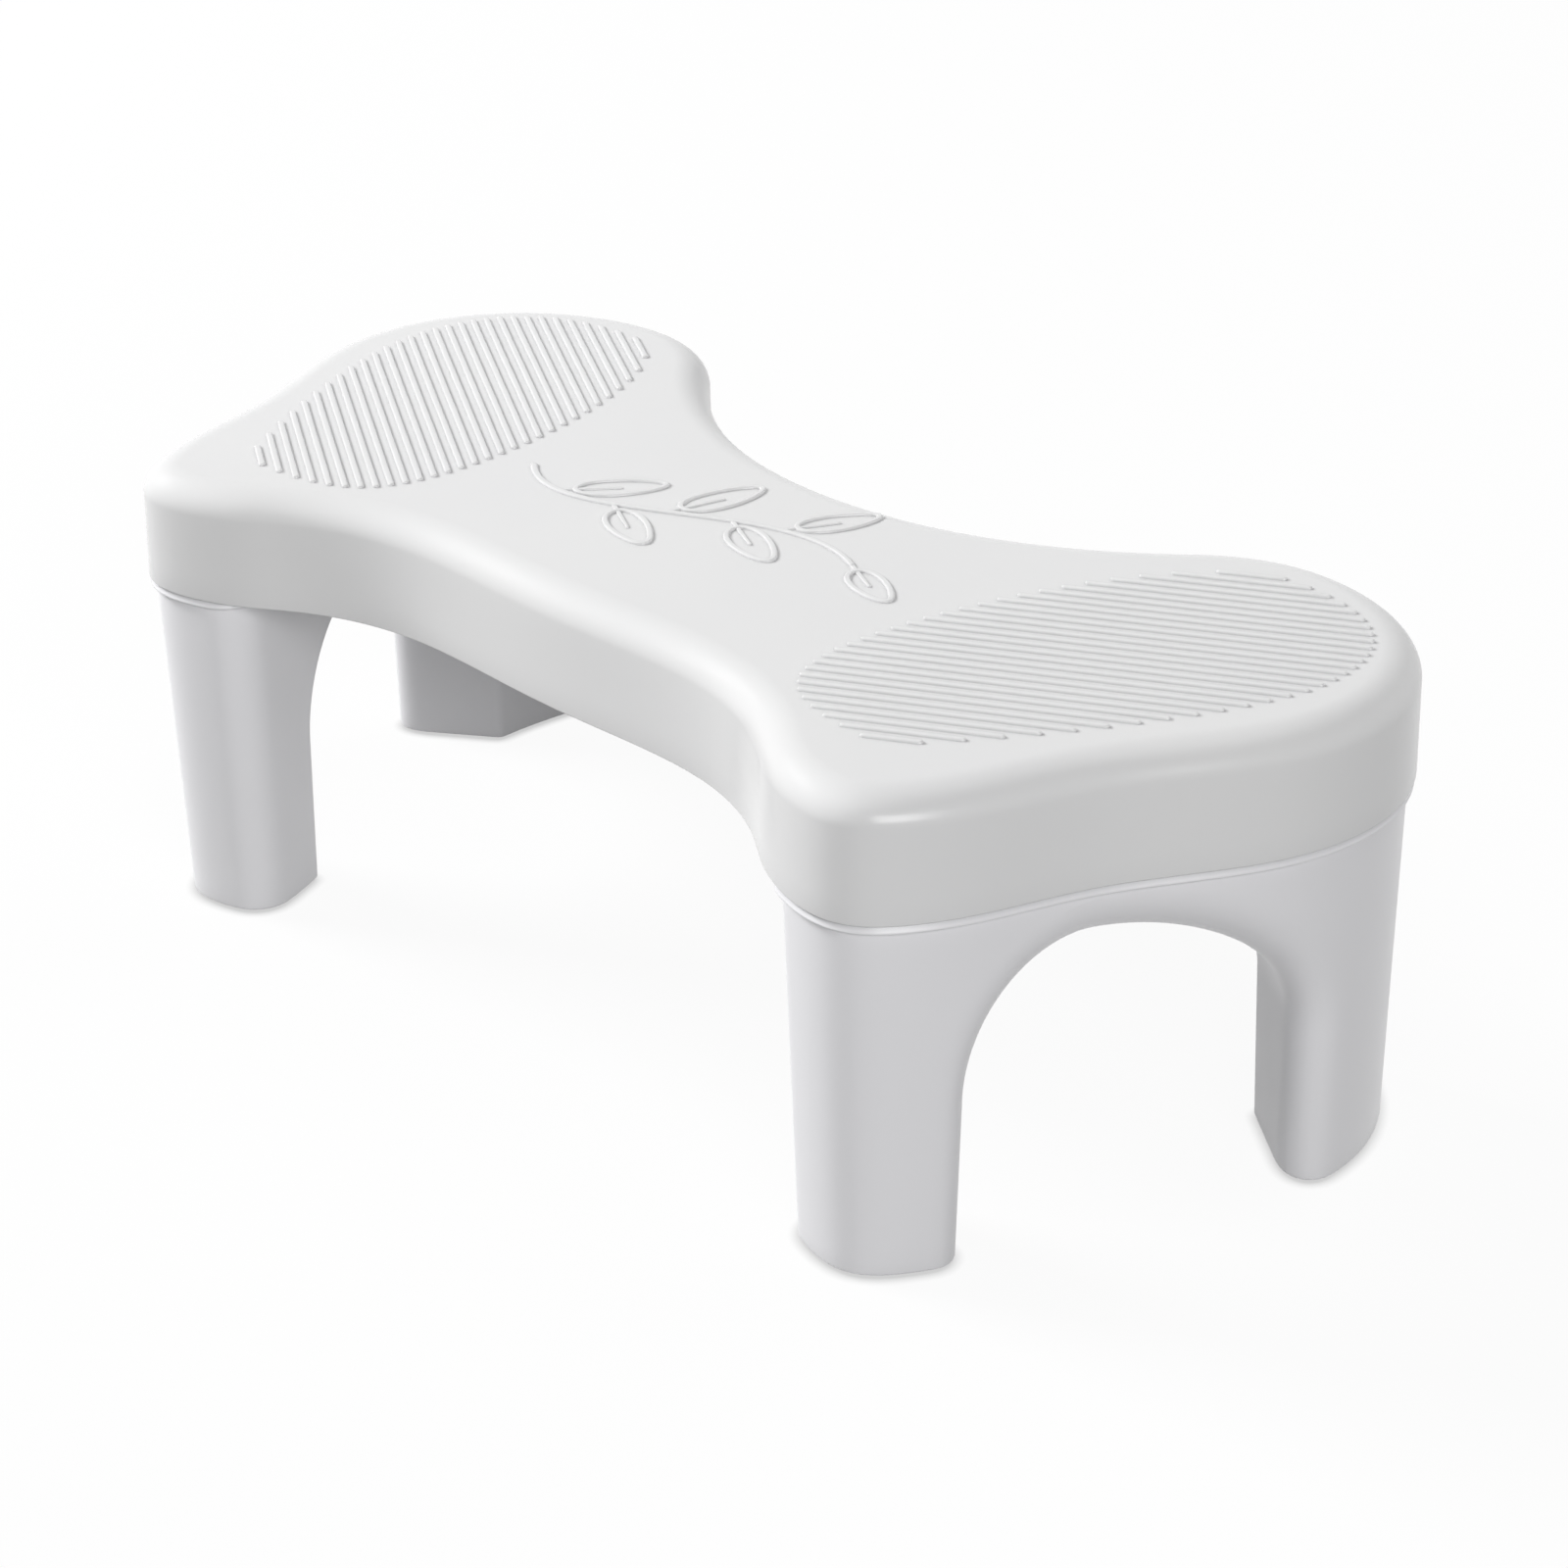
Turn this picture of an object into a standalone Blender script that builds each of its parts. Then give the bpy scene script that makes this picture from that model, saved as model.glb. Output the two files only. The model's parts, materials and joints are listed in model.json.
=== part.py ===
"""Footstool with a waisted moulded top, two arched leg frames and four rubber foot pads.

The top is an open shell with a skirt. Each end of it sits on a hollow leg frame: a near leg
and a far leg joined by an arch, which taper towards the floor. The frame's upstand fits inside
the skirt, its bead shows as a thin line below the skirt, and its catches hold the top.

Metres, +Z up. The origin is on the floor, below the middle of the top. X is the long axis,
-Y the near side with the shallow waist, +Y the far side with the deep waist.
"""

from math import atan2, cos, pi, radians, sin, tan

import bmesh
import bpy
from mathutils import Matrix, Vector

# Overall sizes
LENGTH = 0.481
DEPTH = 0.233
HEIGHT = 0.165

# Top shell
SKIRT_HEIGHT = 0.0407
SHELL_WALL = 0.0028
EDGE_ROUND_WIDTH = 0.013
EDGE_ROUND_HEIGHT = 0.0115
SKIRT_DRAFT = 0.0005
SKIRT_LIP_ROUND = 0.0008
NEAR_WAIST = 0.0355
FAR_WAIST = 0.0682

# Underside of the top shell
STIFFENER_THICKNESS = 0.002
STIFFENER_PITCH = 0.0405
SOCKET_WALL = 0.0025
SOCKET_STOP = 0.002

# Fields of raised ribs on the top face
TREAD_WIDTH = 0.121
TREAD_LENGTH = 0.179
TREAD_CENTRE_X = 0.159
TREAD_CENTRE_Y = 0.0073
TREAD_RIB_WIDTH = 0.0022
TREAD_RIB_HEIGHT = 0.0009
TREAD_RIB_PITCH = 0.00512
TREAD_RIB_ANGLE = radians(30.35)

# Leg frames
FRAME_SETBACK = 0.0025
FRAME_WALL = 0.003
NEAR_OUTER_TAPER = 0.0045
NEAR_INNER_TAPER = 0.0005
FAR_OUTER_TAPER = 0.0005
FAR_INNER_TAPER = 0.005
LEG_FLOOR = 0.0025
NEAR_TIP_ROUND = 0.0175
FAR_TIP_ROUND = 0.006
TIP_OVERRUN = 0.02
ARCH_SPRING_HEIGHT = 0.0547
ARCH_CROWN_HEIGHT = 0.103
JAMB_FLARE = 0.002
NEAR_ARCH_ROUND = 0.0135
FAR_ARCH_ROUND = 0.02
BEAD_HEIGHT = 0.0025
BEAD_REACH = 0.0021
UPSTAND_HEIGHT = 0.0154
UPSTAND_WALL = 0.0025

# Catches between a leg frame and the top
CATCH_WIDTH = 0.012
CATCH_HEIGHT = 0.004
CATCH_REACH = 0.0016
CATCH_SETDOWN = 0.0035
CATCH_MARGIN = 0.001

# Rubber foot pads
PAD_STAND = 0.0012
PAD_RECESS = 0.0015
PAD_MARGIN = 0.0025
PAD_CHAMFER = 0.0006
STEM_RADIUS = 0.0028
STEM_HEAD_RADIUS = 0.0042
STEM_HEAD_HEIGHT = 0.004
STEM_HEAD_LAND = 0.001

# Fits
CLEARANCE = 0.0003
CUT_OVERRUN = 0.001
WELD = 0.000001

# Outline of the top, right half. X is a share of half the length, Y of half the depth, and
# at the two bends Y is a share of the waist on that side. Handles are shares of the distance
# between the two ends of their curve.
NEAR_BEND_SHARES = (0.52, 0.42)
NEAR_CORNER_X_SHARE = 0.684
NEAR_FLANK_SHARES = (0.8045, -0.785)
END_WAIST_SHARES = (0.883, -0.331)
END_BULGE_Y_SHARE = 0.324
FAR_CORNER_X_SHARE = 0.668
FAR_BEND_SHARES = (0.491, 0.27)
NEAR_BEND_ANGLE = radians(-36.8)
NEAR_FLANK_ANGLE = radians(64.4)
END_WAIST_ANGLE = radians(64.5)
FAR_BEND_ANGLE = radians(224.4)
OUTLINE_HANDLE_SHARES = (
    (0.39, 0.40), (0.33, 0.30), (0.39, 0.39), (0.33, 0.34),
    (0.38, 0.38), (0.38, 0.39), (0.33, 0.36), (0.38, 0.34),
)

# Outline of a field of raised ribs, and the section of a rib
TREAD_NODE_SHARES = ((0.0, 0.258), (0.472, 0.0), (1.0, 0.707), (0.533, 1.0))
TREAD_HANDLE_SHARES = ((0.49, 0.58), (0.04, 0.29), (0.47, 0.45), (0.24, 0.35))
RIB_CHAMFER_SHARE = 0.5

# Walls and arch of a leg frame, as shares of the length of the wall or outline they lie on
NEAR_TIP_SHARE = 0.22
FAR_TIP_SHARE = 0.686
INNER_WALL_START_ANGLE = radians(81.3)
INNER_WALL_END_ANGLE = radians(103.3)
INNER_WALL_HANDLE_SHARES = (0.255, 0.50)
ARCH_OUTER_SHARES = (0.269, 0.639)
ARCH_INNER_SHARES = (0.1615, 0.7585)
ARCH_APEX_SHARE = 0.377
CATCH_PLACE_SHARES = (0.3, 0.7)
STEM_PLACE_SHARE = 0.5

# Counts of facets
OUTLINE_STEPS = (6, 5, 7, 4, 6, 11, 5, 8)
ROUND_STEPS = 4
INNER_ROUND_STEPS = 3
TREAD_STEPS = 16
RIB_END_STEPS = 3
TIP_STEPS = 2
DENSE_STEPS = 12
INNER_WALL_STEPS = 24
JAMB_STEPS = 1
SHOULDER_STEPS = 2
OUTER_ROWS = 7
INNER_ROWS = 4
ARCH_ROUND_STEPS = 3
BEAD_STEPS = 3
STEM_SIDES = 12

# Facets crowd together at bends, and edges sharper than this stay sharp
TURN_SHARE = 0.15
CREASE_ANGLE = radians(38)

# Heights that follow from the sizes
SKIRT_BOTTOM = HEIGHT - SKIRT_HEIGHT
BEAD_TOP = SKIRT_BOTTOM - CLEARANCE
BEAD_BOTTOM = BEAD_TOP - BEAD_HEIGHT
UPSTAND_TOP = BEAD_TOP + UPSTAND_HEIGHT
STIFFENER_BOTTOM = UPSTAND_TOP + CLEARANCE
LEG_BOTTOM = PAD_STAND
RECESS_TOP = LEG_BOTTOM + PAD_RECESS
CAVITY_BOTTOM = RECESS_TOP + LEG_FLOOR
UPSTAND_STEP = FRAME_SETBACK - SHELL_WALL - CLEARANCE


def plan(x, y):
    return Vector((x, y))


def heading(angle):
    return Vector((cos(angle), sin(angle)))


def at_height(line, height):
    return [Vector((point.x, point.y, height)) for point in line]


def cubic(start, first, second, end, steps):
    """Points of a cubic curve with two handle points, from start to end."""
    points = []
    for step in range(steps + 1):
        t = step / steps
        s = 1 - t
        points.append(start * s**3 + first * 3 * s * s * t + second * 3 * s * t * t + end * t**3)
    return points


def bezier(start, start_angle, end, end_angle, handle_shares, steps):
    """Points of a cubic curve with two directions, from start up to, but not including, end."""
    chord = (end - start).length
    first = start + heading(start_angle) * chord * handle_shares[0]
    second = end - heading(end_angle) * chord * handle_shares[1]
    return cubic(start, first, second, end, steps)[:-1]


def right_edge():
    """The right half of the top's outline, from the near waist to the far waist."""
    half_length = LENGTH / 2
    half_depth = DEPTH / 2
    nodes = (
        (plan(0, NEAR_WAIST - half_depth), 0),
        (plan(NEAR_BEND_SHARES[0] * half_length, NEAR_BEND_SHARES[1] * NEAR_WAIST - half_depth),
         NEAR_BEND_ANGLE),
        (plan(NEAR_CORNER_X_SHARE * half_length, -half_depth), 0),
        (plan(NEAR_FLANK_SHARES[0] * half_length, NEAR_FLANK_SHARES[1] * half_depth),
         NEAR_FLANK_ANGLE),
        (plan(END_WAIST_SHARES[0] * half_length, END_WAIST_SHARES[1] * half_depth),
         END_WAIST_ANGLE),
        (plan(half_length, END_BULGE_Y_SHARE * half_depth), pi / 2),
        (plan(FAR_CORNER_X_SHARE * half_length, half_depth), pi),
        (plan(FAR_BEND_SHARES[0] * half_length, half_depth - FAR_BEND_SHARES[1] * FAR_WAIST),
         FAR_BEND_ANGLE),
        (plan(0, half_depth - FAR_WAIST), pi),
    )
    points = []
    for index, shares in enumerate(OUTLINE_HANDLE_SHARES):
        start, start_angle = nodes[index]
        end, end_angle = nodes[index + 1]
        points += bezier(start, start_angle, end, end_angle, shares, OUTLINE_STEPS[index])
    points.append(nodes[-1][0])
    return points


def outline():
    """The whole outline of the top, anticlockwise seen from above."""
    right = right_edge()
    left = [plan(-point.x, point.y) for point in reversed(right[1:-1])]
    return right + left


def shifted(line, distance, closed=False):
    """A line moved to its left by a distance, with its corners kept mitred."""
    count = len(line)
    result = []
    for index, point in enumerate(line):
        before = line[index - 1] if closed or index > 0 else point
        after = line[(index + 1) % count] if closed or index < count - 1 else point
        arriving = (point - before) if before is not point else (after - point)
        leaving = (after - point) if after is not point else arriving
        side_a = Vector((-arriving.y, arriving.x)).normalized()
        side_b = Vector((-leaving.y, leaving.x)).normalized()
        middle = (side_a + side_b).normalized()
        result.append(point + middle * (distance / middle.dot(side_a)))
    return result


def without_repeats(line):
    kept = [line[0]]
    for point in line[1:-1]:
        if min((point - kept[-1]).length, (point - line[-1]).length) > WELD:
            kept.append(point)
    return kept + [line[-1]]


def line_shares(line):
    """How far along a line each of its points lies, from 0 to 1."""
    lengths = [0.0]
    for before, after in zip(line, line[1:]):
        lengths.append(lengths[-1] + (after - before).length)
    return [length / lengths[-1] for length in lengths]


def line_length(line):
    return sum((after - before).length for before, after in zip(line, line[1:]))


def along(line, shares, share):
    """The point at a share of a line's length."""
    share = min(max(share, 0.0), 1.0)
    index = 0
    while index < len(shares) - 2 and shares[index + 1] < share:
        index += 1
    span = shares[index + 1] - shares[index]
    part = (share - shares[index]) / span
    return line[index].lerp(line[index + 1], part)


def turned_shares(line, start, end, steps):
    """Shares between start and end that lie closer together where the line turns."""
    shares = line_shares(line)
    turn_length = TURN_SHARE * line_length(line)
    samples = [start + (end - start) * step / (steps * DENSE_STEPS)
               for step in range(steps * DENSE_STEPS + 1)]
    points = [along(line, shares, share) for share in samples]
    measure = [0.0]
    for index in range(1, len(points)):
        arriving = points[index] - points[index - 1]
        before = points[max(index - 2, 0)]
        earlier = points[index - 1] - before
        turn = abs(earlier.angle_signed(arriving, 0.0)) if earlier.length > 0 else 0.0
        measure.append(measure[-1] + arriving.length + turn_length * turn)
    result = []
    for step in range(steps + 1):
        wanted = measure[-1] * step / steps
        index = 1
        while index < len(measure) - 1 and measure[index] < wanted:
            index += 1
        part = (wanted - measure[index - 1]) / (measure[index] - measure[index - 1])
        result.append(samples[index - 1] + (samples[index] - samples[index - 1]) * part)
    return result


def segments_cross(a, b, c, d):
    """Where two segments cross, as the part of the way from a to b, or None."""
    first = b - a
    second = d - c
    area = first.cross(second)
    if area == 0:
        return None
    part = (c - a).cross(second) / area
    other = (c - a).cross(first) / area
    if 0 <= part <= 1 and 0 <= other <= 1:
        return part
    return None


def crossings(line, other):
    """Every crossing of a line with another one: index in each, and the point."""
    found = []
    for i in range(len(line) - 1):
        for j in range(len(other) - 1):
            part = segments_cross(line[i], line[i + 1], other[j], other[j + 1])
            if part is not None:
                found.append((i, j, line[i].lerp(line[i + 1], part)))
    return found


def chords(polygon, origin, direction):
    """The stretches of a straight line that lie inside a polygon, as pairs of distances."""
    side = Vector((-direction.y, direction.x))
    distances = []
    for a, b in zip(polygon, polygon[1:] + polygon[:1]):
        height_a = (a - origin).dot(side)
        height_b = (b - origin).dot(side)
        if (height_a > 0) != (height_b > 0):
            point = a.lerp(b, height_a / (height_a - height_b))
            distances.append((point - origin).dot(direction))
    distances.sort()
    return list(zip(distances[::2], distances[1::2]))


def new_mesh_object(name, mesh_builder, material=None):
    """An object made from a bmesh with all its faces pointing outwards."""
    bmesh.ops.recalc_face_normals(mesh_builder, faces=mesh_builder.faces)
    mesh = bpy.data.meshes.new(name)
    mesh_builder.to_mesh(mesh)
    mesh_builder.free()
    made = bpy.data.objects.new(name, mesh)
    bpy.context.scene.collection.objects.link(made)
    if material:
        mesh.materials.append(material)
    return made


def add_loops(builder, loops, closed=True, cap_first=False, cap_last=False):
    """Faces between neighbouring loops of equal length, and flat caps on the end ones."""
    rings = [[builder.verts.new(point) for point in loop] for loop in loops]
    count = len(rings[0])
    for lower, upper in zip(rings, rings[1:]):
        for index in range(count if closed else count - 1):
            following = (index + 1) % count
            corners = (lower[index], lower[following], upper[following], upper[index])
            if len({tuple(corner.co) for corner in corners}) == len(corners):
                builder.faces.new(corners)
            else:
                add_triangle(builder, corners)
    if cap_first:
        builder.faces.new(rings[0])
    if cap_last:
        builder.faces.new(rings[-1])


def add_triangle(builder, corners):
    """The one triangle of a four-cornered face that has two corners in the same place."""
    kept = []
    for corner in corners:
        if all((corner.co - other.co).length > WELD for other in kept):
            kept.append(corner)
    if len(kept) == 3:
        builder.faces.new(kept)


def prism(builder, polygon, bottom, top):
    add_loops(builder, [at_height(polygon, bottom), at_height(polygon, top)],
              cap_first=True, cap_last=True)


def welded(builder):
    bmesh.ops.remove_doubles(builder, verts=builder.verts, dist=WELD)
    return builder


def combine(target, tool, operation):
    """Apply a Boolean of a tool object to a target object and remove the tool."""
    modifier = target.modifiers.new(operation.title(), "BOOLEAN")
    modifier.operation = operation
    modifier.object = tool
    bpy.context.view_layer.update()
    shaped = target.evaluated_get(bpy.context.evaluated_depsgraph_get())
    mesh = bpy.data.meshes.new_from_object(shaped)
    target.modifiers.clear()
    worn = target.data
    mesh.name = worn.name
    target.data = mesh
    bpy.data.meshes.remove(worn)
    bpy.data.objects.remove(tool)


def plastic(name, colour, roughness):
    material = bpy.data.materials.new(name)
    material.use_nodes = True
    shader = material.node_tree.nodes["Principled BSDF"]
    shader.inputs["Base Color"].default_value = (*colour, 1)
    shader.inputs["Roughness"].default_value = roughness
    shader.inputs["Metallic"].default_value = 0
    return material


def shade(made):
    made.data.shade_smooth()
    made.data.set_sharp_from_angle(angle=CREASE_ANGLE)


# Top shell
def edge_profile(thickness, steps):
    """Inset and height of the skirt and the rounded top edge, moved inwards by a thickness."""
    width = EDGE_ROUND_WIDTH - thickness
    height = EDGE_ROUND_HEIGHT - thickness
    spring = HEIGHT - EDGE_ROUND_HEIGHT
    profile = []
    for step in range(steps + 1):
        angle = pi / 2 * step / steps
        inset = thickness + SKIRT_DRAFT + width * (1 - cos(angle))
        profile.append((inset, spring + height * sin(angle)))
    return profile


def shell_body():
    """The open shell: rounded top, skirt and the cavity below it."""
    plan_outline = outline()
    lip = SKIRT_LIP_ROUND
    outside = edge_profile(0, ROUND_STEPS)
    inside = edge_profile(SHELL_WALL, INNER_ROUND_STEPS)
    profile = list(reversed(outside))
    profile += [(0, SKIRT_BOTTOM + lip), (lip, SKIRT_BOTTOM), (SHELL_WALL, SKIRT_BOTTOM)]
    profile += inside
    loops = [at_height(shifted(plan_outline, inset, closed=True), height)
             for inset, height in profile]
    builder = bmesh.new()
    add_loops(builder, loops, cap_first=True, cap_last=True)
    return builder


def shell_core():
    """The solid that fills the shell from the middle of its wall inwards."""
    plan_outline = outline()
    profile = [(SHELL_WALL / 2, SKIRT_BOTTOM)] + edge_profile(SHELL_WALL / 2, INNER_ROUND_STEPS)
    loops = [at_height(shifted(plan_outline, inset, closed=True), height)
             for inset, height in profile]
    builder = bmesh.new()
    add_loops(builder, loops, cap_first=True, cap_last=True)
    return new_mesh_object("core", builder)


def stiffener_slabs(across):
    """Parallel upright slabs under the top, which run along Y if across is true."""
    builder = bmesh.new()
    reach = DEPTH / 2 if across else LENGTH / 2
    spread = LENGTH / 2 if across else DEPTH / 2
    half = STIFFENER_THICKNESS / 2
    count = int(spread / STIFFENER_PITCH)
    for index in range(-count, count + 1):
        middle = index * STIFFENER_PITCH
        if across:
            corners = [plan(middle - half, -reach), plan(middle + half, -reach),
                       plan(middle + half, reach), plan(middle - half, reach)]
        else:
            corners = [plan(-reach, middle - half), plan(reach, middle - half),
                       plan(reach, middle + half), plan(-reach, middle + half)]
        prism(builder, corners, STIFFENER_BOTTOM, HEIGHT)
    return new_mesh_object("slabs", builder)


def socket_wall():
    """The wall that closes each end of the cavity behind a leg frame's upstand."""
    face = UPSTAND_STEP + CLEARANCE
    line = inner_wall_line(TIP_OVERRUN)
    near_face = shifted(line, face)
    far_face = shifted(line, face + SOCKET_WALL)
    right = near_face + list(reversed(far_face))
    left = [plan(-point.x, point.y) for point in right]
    builder = bmesh.new()
    for polygon in (right, left):
        prism(builder, polygon, SKIRT_BOTTOM + SOCKET_STOP, HEIGHT)
    return new_mesh_object("socket", builder)


def catch_windows():
    """Cutters for the openings in the socket walls that the catches spring into."""
    builder = bmesh.new()
    for share in CATCH_PLACE_SHARES:
        for side in (1, -1):
            add_catch_block(builder, share, side, CATCH_MARGIN, SOCKET_WALL + CUT_OVERRUN)
    return new_mesh_object("windows", builder)


def tread_ribs():
    """Two fields of raised ribs with round ends, each rib cut off by an oval."""
    corner = plan(TREAD_CENTRE_X - TREAD_WIDTH / 2, TREAD_CENTRE_Y - TREAD_LENGTH / 2)
    nodes = [corner + plan(x * TREAD_WIDTH, y * TREAD_LENGTH) for x, y in TREAD_NODE_SHARES]
    oval = []
    for index, shares in enumerate(TREAD_HANDLE_SHARES):
        angle = (index - 1) * pi / 2
        end = nodes[(index + 1) % len(nodes)]
        oval += bezier(nodes[index], angle, end, angle + pi / 2, shares, TREAD_STEPS)
    direction = heading(TREAD_RIB_ANGLE)
    side = heading(TREAD_RIB_ANGLE + pi / 2)
    middle = plan(TREAD_CENTRE_X, TREAD_CENTRE_Y)
    count = int((TREAD_LENGTH + TREAD_WIDTH) / 2 / TREAD_RIB_PITCH)
    builder = bmesh.new()
    for index in range(-count, count + 1):
        origin = middle + side * index * TREAD_RIB_PITCH
        for start, end in chords(oval, origin, direction):
            if end - start > 2 * TREAD_RIB_WIDTH:
                for mirror in (1, -1):
                    add_rib(builder, origin, direction, start, end, mirror)
    return new_mesh_object("ribs", builder)


def add_rib(builder, origin, direction, start, end, mirror):
    """One raised rib with round ends and a bevelled crest."""
    radius = TREAD_RIB_WIDTH / 2
    base_angle = atan2(direction.y, direction.x)
    outlines = []
    for shrink in (0, RIB_CHAMFER_SHARE * radius):
        points = []
        for distance, turn in ((end - radius, -pi / 2), (start + radius, pi / 2)):
            centre = origin + direction * distance
            for step in range(RIB_END_STEPS + 1):
                angle = base_angle + turn + pi * step / RIB_END_STEPS
                point = centre + heading(angle) * (radius - shrink)
                points.append(plan(point.x * mirror, point.y))
        outlines.append(points)
    crest = HEIGHT + TREAD_RIB_HEIGHT
    shoulder = HEIGHT + TREAD_RIB_HEIGHT * RIB_CHAMFER_SHARE
    root = HEIGHT - SHELL_WALL / 2
    add_loops(builder, [at_height(outlines[0], root), at_height(outlines[0], shoulder),
                        at_height(outlines[1], crest)], cap_first=True, cap_last=True)


def make_top_shell(material):
    shell = new_mesh_object("top_shell", shell_body(), material)
    for across in (False, True):
        slabs = stiffener_slabs(across)
        combine(slabs, shell_core(), "INTERSECT")
        combine(shell, slabs, "UNION")
    socket = socket_wall()
    combine(socket, shell_core(), "INTERSECT")
    combine(shell, socket, "UNION")
    combine(shell, catch_windows(), "DIFFERENCE")
    combine(shell, tread_ribs(), "UNION")
    shade(shell)
    return shell


# Leg frames
def frame_tips():
    """The near and far ends of a leg frame, on the line that runs inside the outline."""
    line = shifted(right_edge(), FRAME_SETBACK)
    shares = line_shares(line)
    return along(line, shares, NEAR_TIP_SHARE), along(line, shares, FAR_TIP_SHARE)


def inner_wall_line(overrun):
    """The frame's wall on the side of the stool's middle, from near to far."""
    near, far = frame_tips()
    line = bezier(near, INNER_WALL_START_ANGLE, far, INNER_WALL_END_ANGLE,
                  INNER_WALL_HANDLE_SHARES, INNER_WALL_STEPS)
    before = near - heading(INNER_WALL_START_ANGLE) * overrun
    after = far + heading(INNER_WALL_END_ANGLE) * overrun
    return [before] + line + [far, after]


def trimmed_start(line, distance):
    """A line without the first stretch of a given length."""
    shares = line_shares(line)
    share = distance / line_length(line)
    rest = [point for point, place in zip(line, shares) if place > share + WELD]
    return [along(line, shares, share)] + rest


def turn_between(line, other):
    """How far the path turns that comes down one line and leaves along the other."""
    return pi - (line[1] - line[0]).angle(other[1] - other[0])


def rounded_start(line, other, radius):
    """Two lines from one corner, which start instead at the middle of its rounding."""
    setback = radius * tan(turn_between(line, other) / 2)
    line = trimmed_start(line, setback)
    other = trimmed_start(other, setback)
    start, end = other[0], line[0]
    turn = turn_between(line, other)
    handle = (end - start).length / sin(turn / 2) * 2 / 3 * tan(turn / 4)
    first = start + (start - other[1]).normalized() * handle
    second = end + (end - line[1]).normalized() * handle
    arc = cubic(start, first, second, end, 2 * TIP_STEPS)
    outward = arc[TIP_STEPS:]
    inward = list(reversed(arc[:TIP_STEPS + 1]))
    return outward + line[1:], inward + other[1:]


def frame_walls(inset, outer_taper=0, inner_taper=0):
    """The outer and inner wall lines of a frame, both from the near tip to the far tip."""
    edge = shifted(right_edge(), FRAME_SETBACK + inset + outer_taper)
    inner = shifted(inner_wall_line(TIP_OVERRUN), -inset - inner_taper)
    found = crossings(inner, edge)
    start_inner, start_edge, near = found[0]
    end_inner, end_edge, far = found[-1]
    outer_line = without_repeats([near] + edge[start_edge + 1:end_edge + 1] + [far])
    inner_line = without_repeats([near] + inner[start_inner + 1:end_inner + 1] + [far])
    outer_line, inner_line = rounded_start(outer_line, inner_line, NEAR_TIP_ROUND - inset)
    outer_line.reverse()
    inner_line.reverse()
    outer_line, inner_line = rounded_start(outer_line, inner_line, FAR_TIP_ROUND - inset)
    outer_line.reverse()
    inner_line.reverse()
    return outer_line, inner_line


class TaperedWall:
    """One wall of a leg frame, from a line at the bead's height down to one on the floor.

    The floor line is near_floor at the near tip and changes over to far_floor at the far tip.
    """

    def __init__(self, upper, near_floor, far_floor):
        self.upper = upper
        self.near_floor = near_floor
        self.far_floor = far_floor
        self.upper_shares = line_shares(upper)
        self.near_shares = line_shares(near_floor)
        self.far_shares = line_shares(far_floor)
        self.length = line_length(upper)

    def point(self, distance, height):
        """The point at a distance along the wall and at a height."""
        share = distance / self.length
        top = along(self.upper, self.upper_shares, share)
        near = along(self.near_floor, self.near_shares, share)
        far = along(self.far_floor, self.far_shares, share)
        floor = near.lerp(far, share)
        place = floor.lerp(top, height / BEAD_BOTTOM)
        return Vector((place.x, place.y, height))


def border_shares():
    """Where the meshes of both walls meet the bead: at every corner of the outer wall."""
    outer, inner = frame_walls(0)
    outer_shares = line_shares(outer)
    return outer_shares, turned_shares(inner, 0.0, 1.0, len(outer_shares) - 1)


def arch_stations(wall, shares, growth, bottom, top_steps):
    """Points of the arch from the near foot to the far foot, each with its outward normal."""
    near = shares[0] * wall.length - growth
    far = shares[1] * wall.length + growth
    apex = near + (far - near) * ARCH_APEX_SHARE
    rise = ARCH_CROWN_HEIGHT + growth - ARCH_SPRING_HEIGHT
    stations = []
    for step in range(JAMB_STEPS):
        height = bottom + (ARCH_SPRING_HEIGHT - bottom) * step / JAMB_STEPS
        flare = JAMB_FLARE * (1 - height / ARCH_SPRING_HEIGHT)
        stations.append((near - flare, height, -1.0, 0.0))
    steps = 2 * SHOULDER_STEPS + top_steps
    for step in range(steps + 1):
        angle = pi * step / steps
        run = apex - near if angle < pi / 2 else far - apex
        across = -cos(angle)
        up = sin(angle)
        slope = Vector((across / run, up / rise)).normalized()
        stations.append((apex + run * across, ARCH_SPRING_HEIGHT + rise * up, slope.x, slope.y))
    for step in range(1, JAMB_STEPS + 1):
        height = ARCH_SPRING_HEIGHT + (bottom - ARCH_SPRING_HEIGHT) * step / JAMB_STEPS
        flare = JAMB_FLARE * (1 - height / ARCH_SPRING_HEIGHT)
        stations.append((far + flare, height, 1.0, 0.0))
    return stations


def border_stations(wall, stations, shares):
    """Where the wall's mesh ends at each station: on a tip, or along the bead."""
    border = [(0.0, height) for _, height, _, _ in stations[:JAMB_STEPS]]
    rise = BEAD_BOTTOM - ARCH_SPRING_HEIGHT
    for step in range(SHOULDER_STEPS):
        border.append((0.0, ARCH_SPRING_HEIGHT + rise * step / SHOULDER_STEPS))
    for share in shares:
        border.append((share * wall.length, BEAD_BOTTOM))
    for step in range(1, SHOULDER_STEPS + 1):
        border.append((wall.length, BEAD_BOTTOM - rise * step / SHOULDER_STEPS))
    border += [(wall.length, height) for _, height, _, _ in stations[-JAMB_STEPS:]]
    return border


def row_parts(wall, near, far, rows):
    """How far each row of the mesh lies from the arch to the near tip and to the far tip."""
    near_places = turned_shares(wall.upper, near / wall.length, 0.0, rows)
    far_places = turned_shares(wall.upper, far / wall.length, 1.0, rows)
    near_parts = [1 - place / near_places[0] for place in near_places]
    far_parts = [(place - far_places[0]) / (1 - far_places[0]) for place in far_places]
    return near_parts, far_parts


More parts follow.
